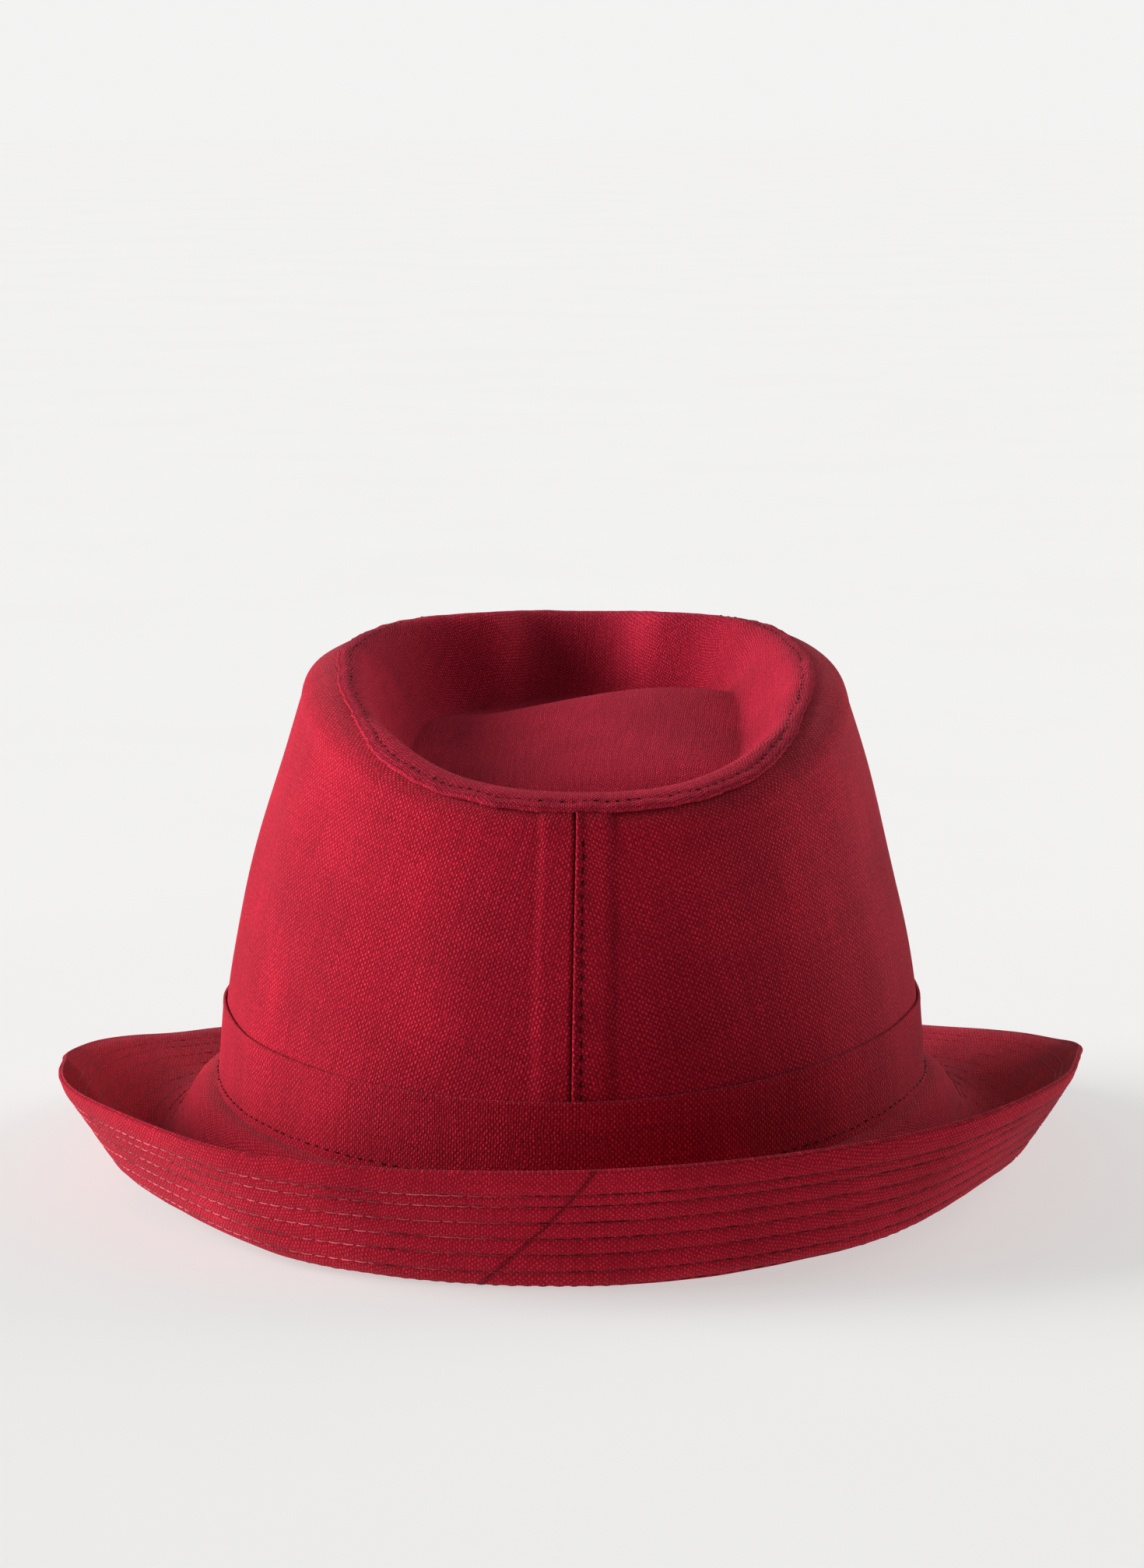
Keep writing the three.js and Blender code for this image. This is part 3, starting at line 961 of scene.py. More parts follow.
@dataclass
class Stitching:
    """Rows of lock stitches, made by one tree that lays thread along any lines on the cloth."""

    segments: int = 4
    sides: int = 6

    def __post_init__(self) -> None:
        """Build the tree."""
        number = "NodeSocketFloat"
        self.kit = GeometryTree(
            "stitch_rows",
            {
                "Pitch": (number, 0.003),
                "Stitch length": (number, 0.0022),
                "Thread radius": (number, 0.0003),
                "Rise": (number, 0.0003),
                "Wander": (number, 0.0001),
                "Seed": ("NodeSocketInt", 1),
                "Material": ("NodeSocketMaterial", None),
            },
        )
        n, given = self.kit.nodes, self.kit.given.outputs
        curve = n.add("GeometryNodeMeshToCurve", {0: given["Geometry"]}).outputs[0]
        places = n.add("GeometryNodeCurveToPoints", {0: curve, "Length": given["Pitch"]}, mode="LENGTH")
        facing = n.add("GeometryNodeInputNamedAttribute", {"Name": "facing"}, data_type="FLOAT_VECTOR")
        axes = n.add(
            "FunctionNodeAxesToRotation",
            {0: facing.outputs[0], 1: places.outputs["Tangent"]},
            primary_axis="Z",
            secondary_axis="X",
        )
        half = n.math("MULTIPLY", given["Stitch length"], 0.5)
        sunk = n.math("MULTIPLY", given["Rise"], -1.0)
        ends = [n.add("ShaderNodeCombineXYZ", {0: x, 2: sunk}).outputs[0]
                for x in (n.math("MULTIPLY", half, -1.0), half)]
        top = n.add("ShaderNodeCombineXYZ", {2: n.math("MULTIPLY", given["Rise"], 2.2)}).outputs[0]
        course = {0: self.segments, "Start": ends[0], "Middle": top, "End": ends[1]}
        arc = n.add("GeometryNodeCurveQuadraticBezier", course).outputs[0]
        ring = n.add(
            "GeometryNodeCurvePrimitiveCircle", {"Resolution": self.sides, "Radius": given["Thread radius"]}
        ).outputs[0]
        stitch = n.add("GeometryNodeCurveToMesh", {0: arc, 1: ring, "Fill Caps": True}).outputs[0]
        shift = n.add("FunctionNodeRandomValue", data_type="FLOAT_VECTOR")
        self.kit.tree.links.new(given["Seed"], shift.inputs["Seed"])
        shift.inputs[0].default_value, shift.inputs[1].default_value = (-1, -1, -0.4), (1, 1, 0.4)
        offset = n.scaled(shift.outputs[0], given["Wander"])
        moved = n.add("GeometryNodeSetPosition", {0: places.outputs[0], "Offset": offset}).outputs[0]
        size = n.add("FunctionNodeRandomValue", data_type="FLOAT_VECTOR")
        self.kit.tree.links.new(given["Seed"], size.inputs["Seed"])
        size.inputs[0].default_value, size.inputs[1].default_value = (0.8, 0.8, 0.6), (1.12, 1.2, 1.25)
        laid = n.add(
            "GeometryNodeInstanceOnPoints",
            {0: moved, "Instance": stitch, "Rotation": axes.outputs[0], "Scale": size.outputs[0]},
        ).outputs[0]
        self.kit.end(laid)

    def sew(
        self,
        name: str,
        lines: list[np.ndarray],
        facing: list[np.ndarray],
        material: bpy.types.Material,
        closed: bool = True,
        pitch: float = 3.0,
        length: float = 2.3,
        radius: float = 0.3,
        rise: float = 0.3,
        wander: float = 0.12,
        seed: int = 1,
    ) -> bpy.types.Object:
        """Lay stitches along lines.

        Args:
            name: name of the piece.
            lines: points of each line, in mm, on the cloth.
            facing: outward direction of the cloth at each point.
            material: the thread.
            closed: whether the lines go all round.
            pitch: distance between two stitches.
            length: length of one stitch.
            radius: half the thread's thickness.
            rise: how far a stitch arches.
            wander: how far a stitch strays from its line.
            seed: start of the random draw.

        Returns:
            The stitches as one piece.
        """
        guide = guide_object(name + "_guide", lines, closed, {"facing": facing})
        values = {
            "Pitch": pitch * MM,
            "Stitch length": length * MM,
            "Thread radius": radius * MM,
            "Rise": rise * MM,
            "Wander": wander * MM,
            "Seed": seed,
            "Material": material,
        }
        return self.kit.run(guide, values, name)


@dataclass
class SideCrown:
    """The two side panels, sewn together at the front and the back."""

    form: HatForm
    stations: int = 240
    lap: float = 0.5
    lap_width: float = 0.8
    dip: float = 0.9
    tuck: float = 1.4
    allowance: float = 8.5
    allowance_height: float = 0.6
    seam_stitch: float = 1.9

    def _up_rows(self) -> np.ndarray:
        """Shares of the wall's height for the rows below the shoulder."""
        close = np.array([0, 0.004, 0.01])
        return np.concatenate([close, np.linspace(0.02, 1.0, 64)])

    def _relief(self, side: Side, away: np.ndarray, bare: np.ndarray) -> np.ndarray:
        """How far the cloth stands up near a seam.

        Args:
            side: which panel.
            away: distance of each point from the nearer seam, in mm.
            bare: 0 where the band presses the cloth flat, 1 above it.

        Returns:
            Height over the plain wall, in mm.
        """
        spread = bare * self.allowance_height * (1 - smooth((away - self.allowance + 0.6) / 0.9))
        if side is Side.LEFT:
            return spread - self.dip * (1 - smooth((away + 0.1) / 1.1))
        return spread + bare * self.lap * bell((away - 0.5) / self.lap_width)

    def make(self, side: Side) -> bpy.types.Object:
        """Build one panel.

        Args:
            side: which panel.

        Returns:
            The panel.
        """
        form = self.form
        t = np.linspace(0, 1, self.stations + 1)
        close = np.array([0.0, 0.0006, 0.0013, 0.0021, 0.003, 0.004, 0.0052, 0.0066, 0.0082, 0.01, 0.0125])
        t = np.concatenate([close, 1 - close, t[(t > 0.014) & (t < 0.986)]])
        if side is Side.LEFT:
            under = self.tuck * np.array([0.0015, 0.003])
            t = np.concatenate([t, -under, 1 + under])
        deg = side.value + 180 * np.unique(t)
        foot = form.foot_at(deg)
        along = lengths(foot)
        along = along - np.interp(side.value, deg, along)
        total = np.interp(side.value + 180, deg, along)
        up = self._up_rows()
        d, u = np.meshgrid(deg, up, indexing="ij")
        turn = np.linspace(0, form.shoulder_end, 16)[1:]
        d2, a = np.meshgrid(deg, turn, indexing="ij")
        face = np.concatenate([form.wall(d, u), form.shoulder(d2, a)], 1)
        out = np.concatenate([
            form.facing(form.wall, d, np.minimum(u, 0.99), 0.01), form.facing(form.shoulder, d2, a, 1.0)
        ], 1)
        ratio = np.linalg.norm(face[..., :2], axis=-1) / np.linalg.norm(foot, axis=-1)[:, None]
        away = np.minimum(along, total - along)[:, None] * ratio
        slant = lengths(face)
        bare = smooth((slant - form.band_width + 1.0) / 2.0)
        face = face + out * self._relief(side, away, bare)[..., None]
        back = face - out * form.side_wall
        # Painted shade beside the seams: in the step down to the left panel under the right one's lapped edge,
        # in the groove of the right panel's topstitches, and along the edge of the allowance beneath.
        if side is Side.LEFT:
            sunk = 0.8 * (1 - smooth((away - 0.1) / 0.9))
        else:
            sunk = 0.25 * bell((away - self.seam_stitch) / 0.6)
        sunk = sunk + 0.3 * bell((away - self.allowance - 0.6) / 1.2)
        height = slant[len(deg) // 2, len(up) - 1]
        brink = np.linalg.norm(np.diff(form.brink_at(deg), axis=0), axis=1).sum()
        fan = (total - brink) / height
        radius = total / fan
        phi = (fan * (along / total - 0.5))[:, None]
        reach = radius - slant
        flat = np.stack([reach * np.sin(phi), radius - reach * np.cos(phi)], -1)
        name = f"crown_side_{side.name.lower()}_cloth"
        return Sheet(name, form.soften(face), form.soften(back), flat, sunk).build()

    def seam_line(self, deg: float) -> tuple[np.ndarray, np.ndarray]:
        """Line of the topstitches beside a seam, on the right panel.

        Args:
            deg: the seam's angle.

        Returns:
            Points and outward directions.
        """
        form = self.form
        up = np.linspace(form.band_share(np.array([deg]))[0] + 0.01, 0.985, 90)
        radius = np.linalg.norm(form.wall(deg, 0.5)[:2])
        step = math.degrees(self.seam_stitch / radius) * (1 if deg == Side.RIGHT.value else -1)
        line = form.wall(deg + step, up)
        out = form.facing(form.wall, deg + step, up, 0.01)
        line = line + out * (self.allowance_height + 0.12)
        return form.soften(line), out

    def dress(self, canvas: Canvas, thread: Thread, stitching: Stitching) -> None:
        """Make both panels and the stitches beside their seams.

        Args:
            canvas: the panels' cloth.
            thread: the stitches' thread.
            stitching: the tree that lays them.
        """
        material, sewn = canvas.material(), thread.material()
        for side in Side:
            dress(self.make(side), material, canvas.slot, f"crown_panel_{side.name.lower()}")
        lines, facing = zip(*(self.seam_line(side.value) for side in Side))
        piece = stitching.sew("crown_seam_stitches", list(lines), list(facing), sewn, closed=False,
                              pitch=2.9, length=1.3, radius=0.17, rise=0.1, wander=0.15, seed=5)
        dress(piece, sewn, canvas.slot)


@dataclass
class Tip:
    """The creased tip, lapped over the top of the side panels and topstitched along its hem."""

    form: HatForm
    stations: int = 400
    hem_rows: int = 20
    crease_rows: int = 52
    stitch_inset: float = 2.1
    stitch_width: float = 0.8
    stitch_dent: float = 0.14
    ragged_by: float = 3.6
    # The hem's turn in degrees where a side starts, and its stretch to the full side.
    side_from: tuple[float, float] = (56, 12)
    hem_thinner: float = 0.4
    side_thinner: float = 0.45
    side_hem: float = 84
    pucker: float = 0.36
    pucker_reach: float = 6.0
    puckers: Ripple = field(default_factory=lambda: Ripple(23, 4.0, 13.0, 14))
    ragged: Ripple = field(default_factory=lambda: Ripple(31, 2.0, 20.0, 14))

    def _at_side(self, deg: np.ndarray) -> np.ndarray:
        """1 at the hat's sides and 0 at its back, where the hem lies lower."""
        return smooth((self.form.around("hem", deg) - self.side_from[0]) / self.side_from[1])

    def _surface(self, deg: np.ndarray) -> tuple[np.ndarray, np.ndarray]:
        """Plain form of the tip, from the hem to the middle.

        Args:
            deg: angles round the hat.

        Returns:
            Points and outward directions, by angle and row.
        """
        form = self.form
        start = form.around("hem", deg)
        start = start + (self.side_hem - start) * self._at_side(deg)
        start = start + self.ragged_by * self.ragged.over(form.shoulder(deg, 60.0))
        share = np.concatenate([[0, 0.03, 0.07], np.linspace(0.12, 1, self.hem_rows)])
        turn = start[:, None] + (90 - start[:, None]) * share
        d, turn = np.broadcast_arrays(deg[:, None], turn)
        rim, rim_out = form.shoulder(d, turn), form.facing(form.shoulder, d, turn, 1.0)
        inwards = np.concatenate([np.linspace(0.012, 0.3, 20), np.linspace(0.32, 1, self.crease_rows - 20)])
        d2, w = np.meshgrid(deg, inwards, indexing="ij")
        floor, floor_out = form.crease(d2, w), form.facing(form.crease, d2, np.minimum(w, 0.97), 0.02)
        floor_out[:, -1] = (0, 0, 1)
        return np.concatenate([rim, floor], 1), np.concatenate([rim_out, floor_out], 1)

    def _lift(self, deg: np.ndarray, surface: np.ndarray, length: np.ndarray) -> np.ndarray:
        """How far the hem's face stands over or under the plain thickness of the cloth.

        Args:
            deg: angles round the hat.
            surface: points by angle and row.
            length: distance of each point from the hem's edge, in mm.

        Returns:
            Height for each point, in mm.
        """
        fade = 1 - smooth(length / self.pucker_reach)
        sewn = bell((length - self.stitch_inset) / self.stitch_width)
        thinner = self.hem_thinner + self.side_thinner * self._at_side(deg)[:, None]
        return self.pucker * self.puckers.over(surface) * fade - self.stitch_dent * sewn - thinner * fade

    def make(self) -> bpy.types.Object:
        """Build the tip.

        Returns:
            The tip.
        """
        form = self.form
        deg = np.linspace(0, 360, self.stations + 1)
        surface, out = self._surface(deg)
        length = lengths(surface)
        sewn = bell((length - self.stitch_inset) / self.stitch_width)
        lift = self._lift(deg, surface, length)
        face = surface + out * (form.gap + form.tip_wall + lift)[..., None]
        back = surface + out * (form.gap + np.minimum(lift, 0) * 0.2)[..., None]
        face[:, -1], back[:, -1] = face[:, -1].mean(0), back[:, -1].mean(0)
        # Painted shade in the groove of the topstitches and along the hem's very edge.
        sunk = 0.35 * sewn + 0.5 * (1 - smooth(length / 0.7))
        reach = length[:, -1:] - length
        heading = unit(surface[:, :1, :2] - surface[:, -1:, :2])
        flat = heading * reach[..., None]
        return Sheet(
            "crown_tip_cloth", form.soften(face[:-1]), form.soften(back[:-1]), flat, sunk[:-1], True, True
        ).build()

    def stitch_line(self) -> tuple[np.ndarray, np.ndarray]:
        """Line of the topstitches along the hem.

        Returns:
            Points and outward directions.
        """
        form = self.form
        deg = all_round(3 * self.stations)
        surface, out = self._surface(deg)
        length = lengths(surface)

        def at_stitches(grid: np.ndarray) -> np.ndarray:
            """Values of a grid by angle and row, at the stitches' distance from the edge."""
            rows = zip(length, grid)
            return np.array([[np.interp(self.stitch_inset, at, v) for v in row.T] for at, row in rows])

        line, facing = at_stitches(surface), unit(at_stitches(out))
        height = at_stitches(self._lift(deg, surface, length)[..., None])
        return form.soften(line + facing * (form.gap + form.tip_wall + height)), facing

    def dress(self, canvas: Canvas, thread: Thread, stitching: Stitching) -> None:
        """Make the tip and its topstitches.

        Args:
            canvas: the tip's cloth.
            thread: the stitches' thread.
            stitching: the tree that lays them.
        """
        sewn = thread.material()
        dress(self.make(), canvas.material(), canvas.slot, "crown_tip")
        line, facing = self.stitch_line()
        piece = stitching.sew("crown_tip_topstitches", [line], [facing], sewn, pitch=2.5, length=0.9,
                              radius=0.17, rise=0.08, wander=0.16, seed=7)
        dress(piece, sewn, canvas.slot)


@dataclass
class Band:
    """The flat band round the crown's foot, swept along it by a tree."""

    form: HatForm
    stations: int = 480
    rows: int = 26
    start: float = -0.011  # share of the wall's height at which it starts
    air: float = 0.5  # share of the gap that is left under it
    thin: float = 0.65  # share of the cloth's thickness that it is pressed to
    stitch_up: float = 1.8

    WELD = 0.00001

    def _tree(self) -> GeometryTree:
        """Tree that lays a strip along a closed guide and gives it a thickness.

        Returns:
            The tree.
        """
        number = "NodeSocketFloat"
        kit = GeometryTree(
            "band_sweep",
            {
                "Stations": ("NodeSocketInt", self.stations),
                "Rows": ("NodeSocketInt", self.rows),
                "Length": (number, 0.6),
                "Width": (number, 0.019),
                "Air": (number, 0.0003),
                "Thickness": (number, 0.0011),
                "Hem fold": (number, 0.0001),
                "Material": ("NodeSocketMaterial", None),
            },
        )
        n, given = kit.nodes, kit.given.outputs
        grid = n.add(
            "GeometryNodeMeshGrid",
            {
                "Size X": 1.0,
                "Size Y": 1.0,
                "Vertices X": n.math("ADD", given["Stations"], 1.0),
                "Vertices Y": given["Rows"],
            },
        )
        spread = n.add("ShaderNodeSeparateXYZ", {0: grid.outputs["UV Map"]})
        along = n.math("MULTIPLY", spread.outputs[0], given["Length"])
        up = n.math("MULTIPLY", spread.outputs[1], given["Width"])
        scale = UV_PER_MM / MM
        flat = n.add(
            "ShaderNodeCombineXYZ", {0: n.math("MULTIPLY", along, scale), 1: n.math("MULTIPLY", up, scale)}
        ).outputs[0]
        mapped = n.add(
            "GeometryNodeStoreNamedAttribute",
            {"Geometry": grid.outputs[0], "Name": CLOTH_UV, "Value": flat},
            data_type="FLOAT2",
            domain="CORNER",
        ).outputs[0]
        place = n.add("ShaderNodeSeparateXYZ", {0: n.add("GeometryNodeInputPosition").outputs[0]})
        station = n.math("ROUND", n.math("MULTIPLY", n.math("ADD", place.outputs[0], 0.5), given["Stations"]))
        station = n.math("MODULO", station, given["Stations"])
        share = n.math("ADD", place.outputs[1], 0.5)

        def sampled(name: str | None) -> bpy.types.NodeSocket:
            """Value of the guide at a grid point's station.

            Args:
                name: an attribute of the guide, or None for its position.

            Returns:
                The value.
            """
            if name is None:
                value = n.add("GeometryNodeInputPosition").outputs[0]
            else:
                value = n.add(
                    "GeometryNodeInputNamedAttribute", {"Name": name}, data_type="FLOAT_VECTOR"
                ).outputs[0]
            return n.add(
                "GeometryNodeSampleIndex",
                {"Geometry": given["Geometry"], "Value": value, "Index": station},
                data_type="FLOAT_VECTOR",
            ).outputs[0]

        lean = n.scaled(sampled("lean"), share)
        from_edge = n.math("MULTIPLY", n.math("ABSOLUTE", place.outputs[1]), 2.0)
        fold = n.math("MULTIPLY", n.ramp(from_edge, 0.8, 0.9), given["Hem fold"])
        rise = n.scaled(sampled("out"), n.math("ADD", given["Air"], fold))
        position = n.vector("ADD", n.vector("ADD", sampled(None), lean), rise)
        strip = n.add("GeometryNodeSetPosition", {0: mapped, "Position": position}).outputs[0]
        loop = n.add("GeometryNodeMergeByDistance", {0: strip, "Distance": self.WELD}).outputs[0]
        thick = n.add(
            "GeometryNodeExtrudeMesh",
            {0: loop, "Offset": n.add("GeometryNodeInputNormal").outputs[0],
             "Offset Scale": given["Thickness"], "Individual": False},
        ).outputs[0]
        turned = n.add("GeometryNodeFlipFaces", {0: loop}).outputs[0]
        both = n.add("GeometryNodeJoinGeometry", {0: thick})
        kit.tree.links.new(turned, both.inputs[0])
        closed = n.add("GeometryNodeMergeByDistance", {0: both.outputs[0], "Distance": self.WELD}).outputs[0]
        kit.end(closed)
        return kit

    def make(self, material: bpy.types.Material) -> bpy.types.Object:
        """Sweep the band along the crown's foot.

        Args:
            material: the band's finish.

        Returns:
            The band.
        """
        form = self.form
        deg = all_round(self.stations)
        level = np.concatenate([form.outward(form.foot_at, deg), np.zeros((len(deg), 1))], -1)
        low, high = form.wall(deg, self.start), form.wall(deg, form.band_share(deg))
        raised = form.soften(high) - form.soften(low)
        length = np.linalg.norm(np.diff(low, axis=0, append=low[:1]), axis=1).sum()
        guide = guide_object("band_guide", [form.soften(low)], True, {"lean": [raised * MM], "out": [level]})
        values = {
            "Length": length * MM,
            "Width": form.band_width * MM,
            "Air": self.air * form.gap * MM,
            "Thickness": self.thin * form.band_wall * MM,
            "Material": material,
        }
        return self._tree().run(guide, values, "hat_band_cloth")

    def stitch_line(self) -> tuple[np.ndarray, np.ndarray]:
        """Line of the stitches along the band's lower edge.

        Returns:
            Points and outward directions.
        """
        form = self.form
        deg = all_round(3 * self.stations)
        level = np.concatenate([form.outward(form.foot_at, deg), np.zeros((len(deg), 1))], -1)
        at = form.wall(deg, form.band_share(deg) * self.stitch_up / form.band_width)
        above = self.air * form.gap + self.thin * form.band_wall + 0.02
        return form.soften(at + level * above), level

    def dress(self, canvas: Canvas, thread: Thread, stitching: Stitching) -> None:
        """Make the band and its stitches.

        Args:
            canvas: the band's cloth.
            thread: the stitches' thread.
            stitching: the tree that lays them.
        """
        material, sewn = canvas.material(), thread.material()
        band = self.make(material)
        face_outwards(band)
        dress(band, material, canvas.slot, "hat_band")
        line, facing = self.stitch_line()
        piece = stitching.sew("hat_band_stitches", [line], [facing], sewn, pitch=3.3, length=1.2,
                              radius=0.18, rise=0.1, wander=0.2, seed=9)
        dress(piece, sewn, canvas.slot)


@dataclass
class Brim:
    """The brim's two layers, quilted together by rows of stitches, and joined at a rolled edge."""

    form: HatForm
    stations: int = 432
    first_rows: tuple[float, ...] = (5.5, 8.4)
    row_pitch: float = 4.3
    row_count: int = 10
    join: tuple = ((272.0, 54.5), (261.6, 28.0))
    groove: float = 0.26
    upper_share: float = 0.2
    groove_width: float = 0.85
    quilting: Ripple = field(default_factory=lambda: Ripple(41, 7.0, 22.0, 14))
    wave: Ripple = field(default_factory=lambda: Ripple(47, 40.0, 120.0, 9))

    @property
    def stitch_rows(self) -> np.ndarray:
        """Rows of stitches.

        Returns:
            Distances of the rows from the band, over the cloth.
        """
        inset = list(self.first_rows)
        while len(inset) < self.row_count:
            inset.append(inset[-1] + self.row_pitch)
        return self.form.brim_width - np.array(inset)[::-1]

    def _places(self) -> np.ndarray:
        """Rows of mesh points, close together at each row of stitches and at the edge.

        Returns:
            Distances from the band, over the cloth.
        """
        near = np.array([-1.0, -0.45, 0.0, 0.45, 1.0])
        rows = [r + near for r in self.stitch_rows]
        form = self.form
        inner = np.arange(0.0, self.stitch_rows[0] - 1.4, 1.1)
        margin = np.array([-form.brim_margin, -form.brim_margin / 2])
        between = (self.stitch_rows[1:] + self.stitch_rows[:-1]) / 2
        edge = form.brim_width - np.array([4.3, 3.4, 2.6, 1.9, 1.3, 0.8, 0.4, 0.15])
        return np.unique(np.round(np.concatenate([margin, inner, *rows, between, edge]), 3))

    def _relief(self, places: np.ndarray, points: np.ndarray) -> np.ndarray:
        """How far the cloth puffs up between the rows of stitches.

        Args:
            places: distances from the band.
            points: points of the layer.

        Returns:
            Height for each point, in mm.
        """
        sink = sum(bell((places - r) / self.groove_width) for r in self.stitch_rows)
        free = smooth((places - 2) / 8)
        return -self.groove * sink + 0.12 * self.quilting.over(points) * free

    def _flat(self, deg: np.ndarray, places: np.ndarray) -> np.ndarray:
        """Places of the points on the flat cloth, which is cut as one ring.

        Args:
            deg: angles round the hat.
            places: distances from the band.

        Returns:
            Places by angle and distance.
        """
        form = self.form
        foot, out = form.foot_at(deg)[:, None], form.outward(form.foot_at, deg)[:, None]
        return foot + out * places[None, :, None]

    def join_line(self) -> tuple[tuple[float, float], tuple[float, float]]:
        """Slanting line on the flat cloth where the under layer's ends are joined.

        Returns:
            Its two ends.
        """
        ends = []
        for deg, place in self.join:
            at = self._flat(np.array([deg]), np.array([place]))[0, 0]
            ends.append((float(at[0]), float(at[1])))
        return ends[0], ends[1]

    def make(self, upper: bool) -> bpy.types.Object:
        """Build one layer.

        Args:
            upper: True for the layer on top.

        Returns:
            The layer, from under the band to the edge.
        """
        form = self.form
        deg = np.linspace(0, 360, self.stations + 1)
        places = self._places()
        edge = 1 - smooth((form.brim_width - places) / 3.2)
        if upper:
            top, bottom = 0.55 * edge, form.brim_layer + 0.2 * edge
        else:
            top, bottom = form.brim_layer + form.gap - 0.3 * edge, 2 * form.brim_layer + form.gap - 0.5 * edge
        face, back = form.brim(deg, places, top), form.brim(deg, places, bottom)
        out = unit(face - back)
        relief = self._relief(places, face)[..., None]
        if upper:
            face = face + out * relief * self.upper_share
        else:
            back = back - out * relief
        lift = 0.5 * self.wave.over(face) * smooth(places / form.brim_width)
        rise = np.zeros_like(face)
        rise[..., 2] = lift * smooth(np.minimum(face, back)[..., 2] / 8)
        face, back = face + rise, back + rise
        name = "brim_upper_cloth" if upper else "brim_under_cloth"
        flat = self._flat(deg, places)
        # Painted shade in the grooves of the stitch rows, faint on the upper side.
        sunk = sum(bell((places - r) / 0.6) for r in self.stitch_rows) * (0.06 if upper else 0.5)
        return Sheet(name, form.soften(face[:-1]), form.soften(back[:-1]), flat, sunk, ring=True).build()

    def stitch_lines(self, upper: bool) -> tuple[list[np.ndarray], list[np.ndarray]]:
        """Lines of the rows of stitches on one side of the brim.

        Args:
            upper: True for the side on top.

        Returns:
            Points and outward directions of each line.
        """
        form = self.form
        deg = all_round(3 * self.stations)
        rows = self.stitch_rows
        depth = 0.0 if upper else 2 * form.brim_layer + form.gap
        sheet = form.brim(deg, rows, depth)
        other = form.brim(deg, rows, depth + (1.0 if upper else -1.0))
        out = unit(sheet - other)
        relief = self._relief(rows, sheet)
        lift = 0.5 * self.wave.over(sheet) * smooth(rows / form.brim_width)
        sheet = sheet + out * relief[..., None] * (self.upper_share if upper else 1.0)
        sheet[..., 2] += lift * smooth(np.minimum(sheet, other)[..., 2] / 8)
        lines = [form.soften(sheet[:, k]) for k in range(len(rows))]
        return lines, [out[:, k] for k in range(len(rows))]

    def dress(
        self,
        canvases: tuple[Canvas, Canvas],
        threads: tuple[Thread, Thread],
        stitching: Stitching,
    ) -> None:
        """Make both layers and the stitches on both sides.

        Args:
            canvases: cloth of the upper and the under layer.
            threads: threads on the upper and the under side.
            stitching: the tree that lays the stitches.
        """
        sewn = [thread.material() for thread in threads]
        for upper, canvas, material in zip((True, False), canvases, sewn):
            layer = "brim_upper" if upper else "brim_under"
            dress(self.make(upper), canvas.material(), canvas.slot, layer)
            lines, facing = self.stitch_lines(upper)
            radius = 0.13 if upper else 0.17
            piece = stitching.sew(f"{layer}_stitch_rows", lines, facing, material, pitch=3.4, length=3.2,
                                  radius=radius, rise=radius, wander=0.12, seed=13 + upper)
            dress(piece, material, canvas.slot)


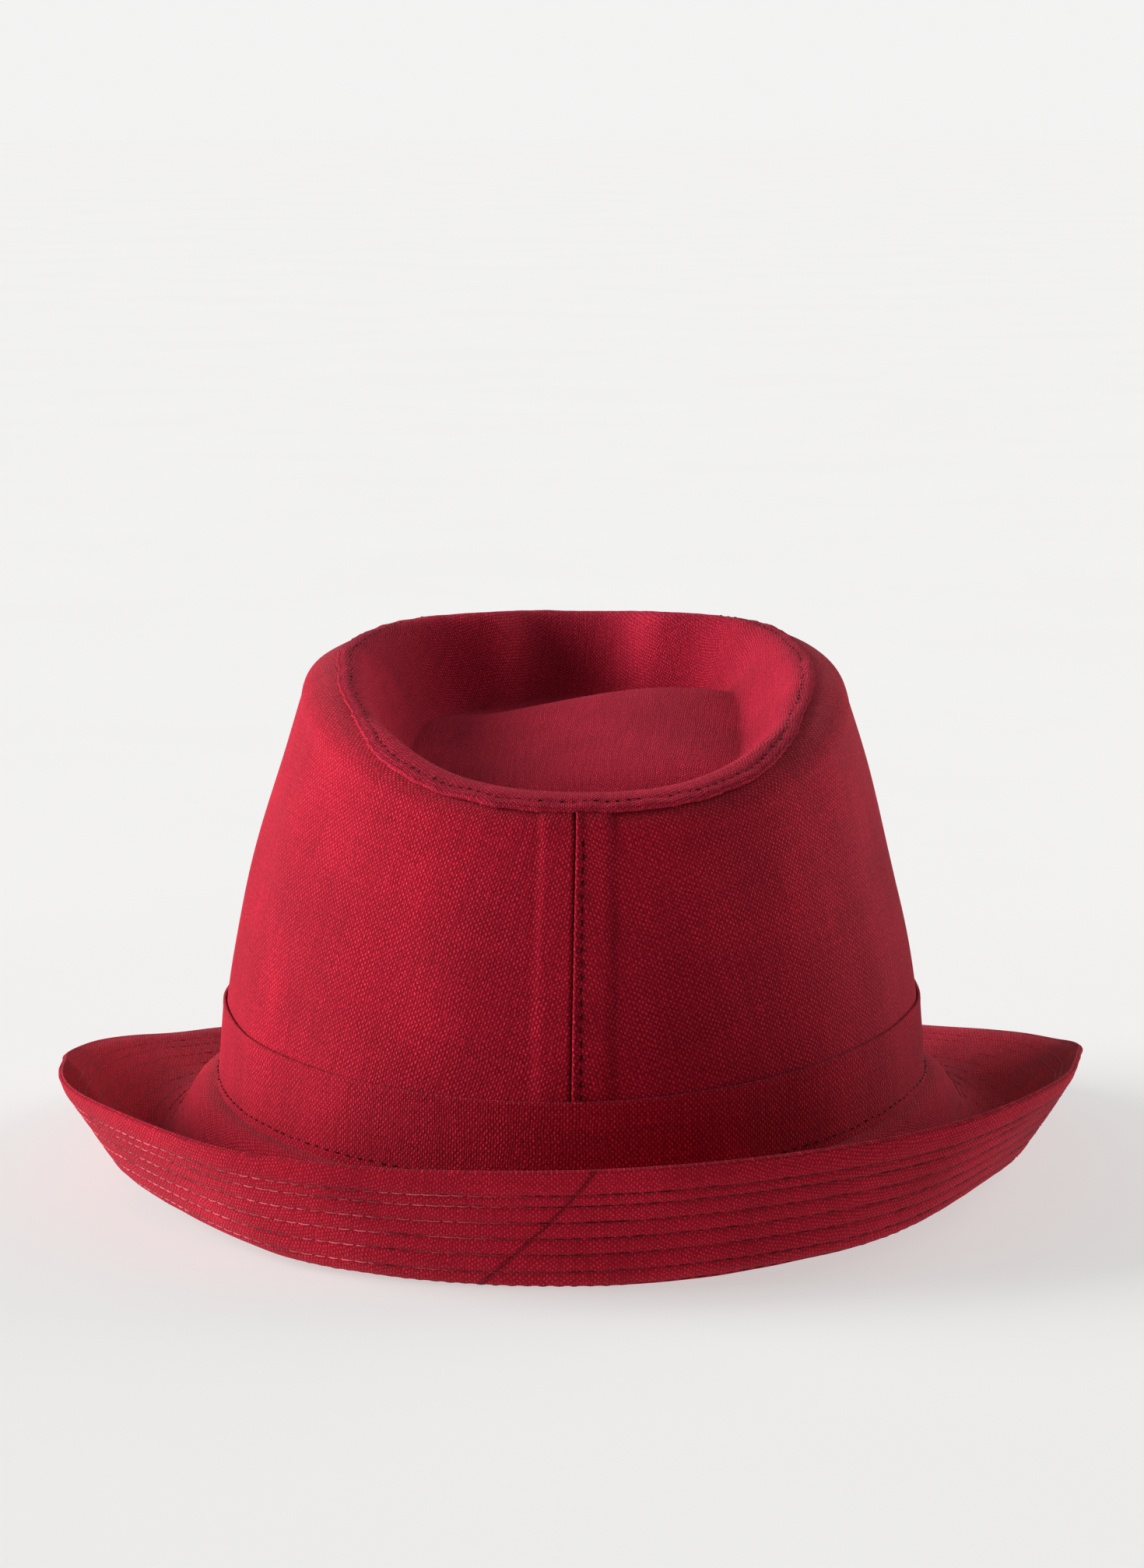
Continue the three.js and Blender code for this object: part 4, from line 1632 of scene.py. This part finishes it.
@dataclass
class Studio:
    """Pale floor, soft light and the camera."""

    aim: tuple[float, float, float] = (0.0, -0.009, 0.0915)
    distance: float = 1.2
    elevation: float = 8.19
    lens: float = 116.9
    floor_radius: float = 14.0

    def floor(self) -> None:
        """A round pale floor that reaches past the horizon of the view."""
        rings, spokes = (0.0, 0.6, 1.5, 4.0, self.floor_radius), 64
        points, faces = [(0.0, 0.0, 0.0)], []
        turns = [2 * math.pi * k / spokes for k in range(spokes)]
        for radius in rings[1:]:
            points += [(radius * math.cos(turn), radius * math.sin(turn), 0.0) for turn in turns]
        for k in range(spokes):
            after = (k + 1) % spokes
            faces.append((0, 1 + k, 1 + after))
            for r in range(len(rings) - 2):
                low, high = 1 + r * spokes, 1 + (r + 1) * spokes
                faces.append((low + k, high + k, high + after, low + after))
        mesh = bpy.data.meshes.new("studio_floor")
        mesh.from_pydata(points, [], faces)
        floor = placed("studio_floor", mesh)
        made = bpy.data.materials.new("floor_paper")
        made.use_nodes = True
        nodes = Nodes(made.node_tree)
        made.node_tree.nodes.clear()
        here = nodes.add("ShaderNodeTexCoord").outputs["Object"]
        tone = nodes.ramp(nodes.noise(here, 6.0, 4.0), 0.2, 0.8)
        colour = nodes.mix(tone, rgba(0.335, 0.333, 0.33), rgba(0.35, 0.349, 0.347))
        depth = nodes.add("ShaderNodeSeparateXYZ", {0: here}).outputs[1]
        # Painted light: the floor glows, a little less towards the camera, which lifts the shade and the hat's
        # shadow on it.
        glow = nodes.ramp(depth, -0.6, 0.5, 0.535, 0.585)
        shader = nodes.add(
            "ShaderNodeBsdfPrincipled",
            {
                "Base Color": colour,
                "Roughness": 0.9,
                "Specular IOR Level": 0.0,
                "Emission Color": rgba(1.0, 0.995, 0.985),
                "Emission Strength": glow,
            },
        )
        nodes.add("ShaderNodeOutputMaterial", {0: shader.outputs[0]})
        mesh.materials.append(made)

    def sky(self) -> None:
        """Pale surroundings, darker on the camera's side and overhead, with a pale horizon."""
        world = bpy.data.worlds.new("studio")
        world.use_nodes = True
        nodes = Nodes(world.node_tree)
        world.node_tree.nodes.clear()
        way = nodes.add("ShaderNodeTexCoord").outputs["Generated"]
        split = nodes.add("ShaderNodeSeparateXYZ", {0: way})
        ahead = nodes.ramp(split.outputs[1], -0.35, 0.9, 0.0, 1.0)
        pale = rgba(0.885, 0.885, 0.88)
        high = nodes.ramp(split.outputs[2], 0.15, 0.8, 0.0, 0.65)
        colour = nodes.mix(ahead, rgba(0.21, 0.21, 0.215), pale)
        colour = nodes.mix(high, colour, rgba(0.1, 0.1, 0.1))
        colour = nodes.mix(nodes.ramp(split.outputs[2], 0.0, 0.03, 1.0, 0.0), colour, pale)
        light = nodes.add("ShaderNodeBackground", {"Color": colour, "Strength": 1.0})
        nodes.add("ShaderNodeOutputWorld", {0: light.outputs[0]})
        bpy.context.scene.world = world

    def sun(self, name: str, towards: tuple[float, float, float], spread: float, power: float) -> None:
        """A distant soft light.

        Args:
            name: name of the light.
            towards: direction from the hat to the light.
            spread: how wide it looks from the hat, in degrees.
            power: its strength.
        """
        data = bpy.data.lights.new(name, "SUN")
        data.energy, data.angle = power, math.radians(spread)
        light = bpy.data.objects.new(name, data)
        light.rotation_euler = Vector(towards).to_track_quat("Z", "Y").to_euler()
        bpy.context.scene.collection.objects.link(light)

    def camera(self) -> None:
        """The camera, at the photograph's angle and distance."""
        data = bpy.data.cameras.new("camera")
        data.lens, data.sensor_width, data.sensor_fit = self.lens, 36.0, "AUTO"
        data.clip_start, data.clip_end = 0.05, 60.0
        camera = bpy.data.objects.new("camera", data)
        tilt = math.radians(self.elevation)
        way = Vector((0.0, -math.cos(tilt), math.sin(tilt)))
        camera.location = Vector(self.aim) + way * self.distance
        camera.rotation_euler = (math.pi / 2 - tilt, 0.0, 0.0)
        bpy.context.scene.collection.objects.link(camera)
        bpy.context.scene.camera = camera

    def build(self) -> None:
        """Set up everything that isn't the hat."""
        self.floor()
        self.sky()
        self.sun("key_left", (-1.0, 0.08, 0.24), 52.0, 5.5)
        self.sun("rim_right", (1.0, 0.7, 0.4), 50.0, 1.5)
        self.camera()
        view = bpy.context.scene.view_settings
        view.view_transform, view.look = "Standard", "None"
        view.exposure, view.gamma = 0.03, 0.9


def main() -> None:
    """Build the hat piece by piece, then the studio round it."""
    logging.basicConfig(level=logging.INFO, format="%(message)s")
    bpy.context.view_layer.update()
    form = HatForm()
    stitching = Stitching()
    thread = Thread("brown_red_thread", rgba(0.1, 0.006, 0.009))
    # Painted light: this dark red thread is drawn pale rose on the hat's left side, where the key light falls.
    rose = Thread("rose_thread", rgba(0.27, 0.026, 0.032), rgba(0.85, 0.19, 0.23))
    # Near-black stitches that paint the shade in the stitch holes.
    hole = Thread("shadow_thread", rgba(0.06, 0.004, 0.007))
    SideCrown(form).dress(Canvas("crown_weave", Slot.CROWN), hole, stitching)
    # Painted light: the tip's cloth is lighter than the panels', for the light that bounces round inside the
    # crease.
    tip_canvas = Canvas(
        "tip_weave", Slot.TIP, rgba(0.64, 0.029, 0.072), pitch_u=0.5, pitch_v=0.47, bold=0.62, sheen=0.04,
        grain=0.1,
    )
    Tip(form).dress(tip_canvas, hole, stitching)
    Band(form).dress(Canvas("band_weave", Slot.BAND), thread, stitching)
    brim = Brim(form)
    # Painted shade: the under layer's cloth is darker than the rest, for the shade under the brim.
    shaded_under_canvas = Canvas(
        "brim_under_weave", Slot.BRIM_UNDER, rgba(0.505, 0.0124, 0.0385), bold=0.46, sheen=0.07,
        joins=(brim.join_line(),),
    )
    dyed = Thread("dyed_thread", rgba(0.5, 0.014, 0.042))
    brim.dress((Canvas("brim_upper_weave", Slot.BRIM_UPPER), shaded_under_canvas), (dyed, rose), stitching)
    Studio().build()


if __name__ == "__main__":
    main()
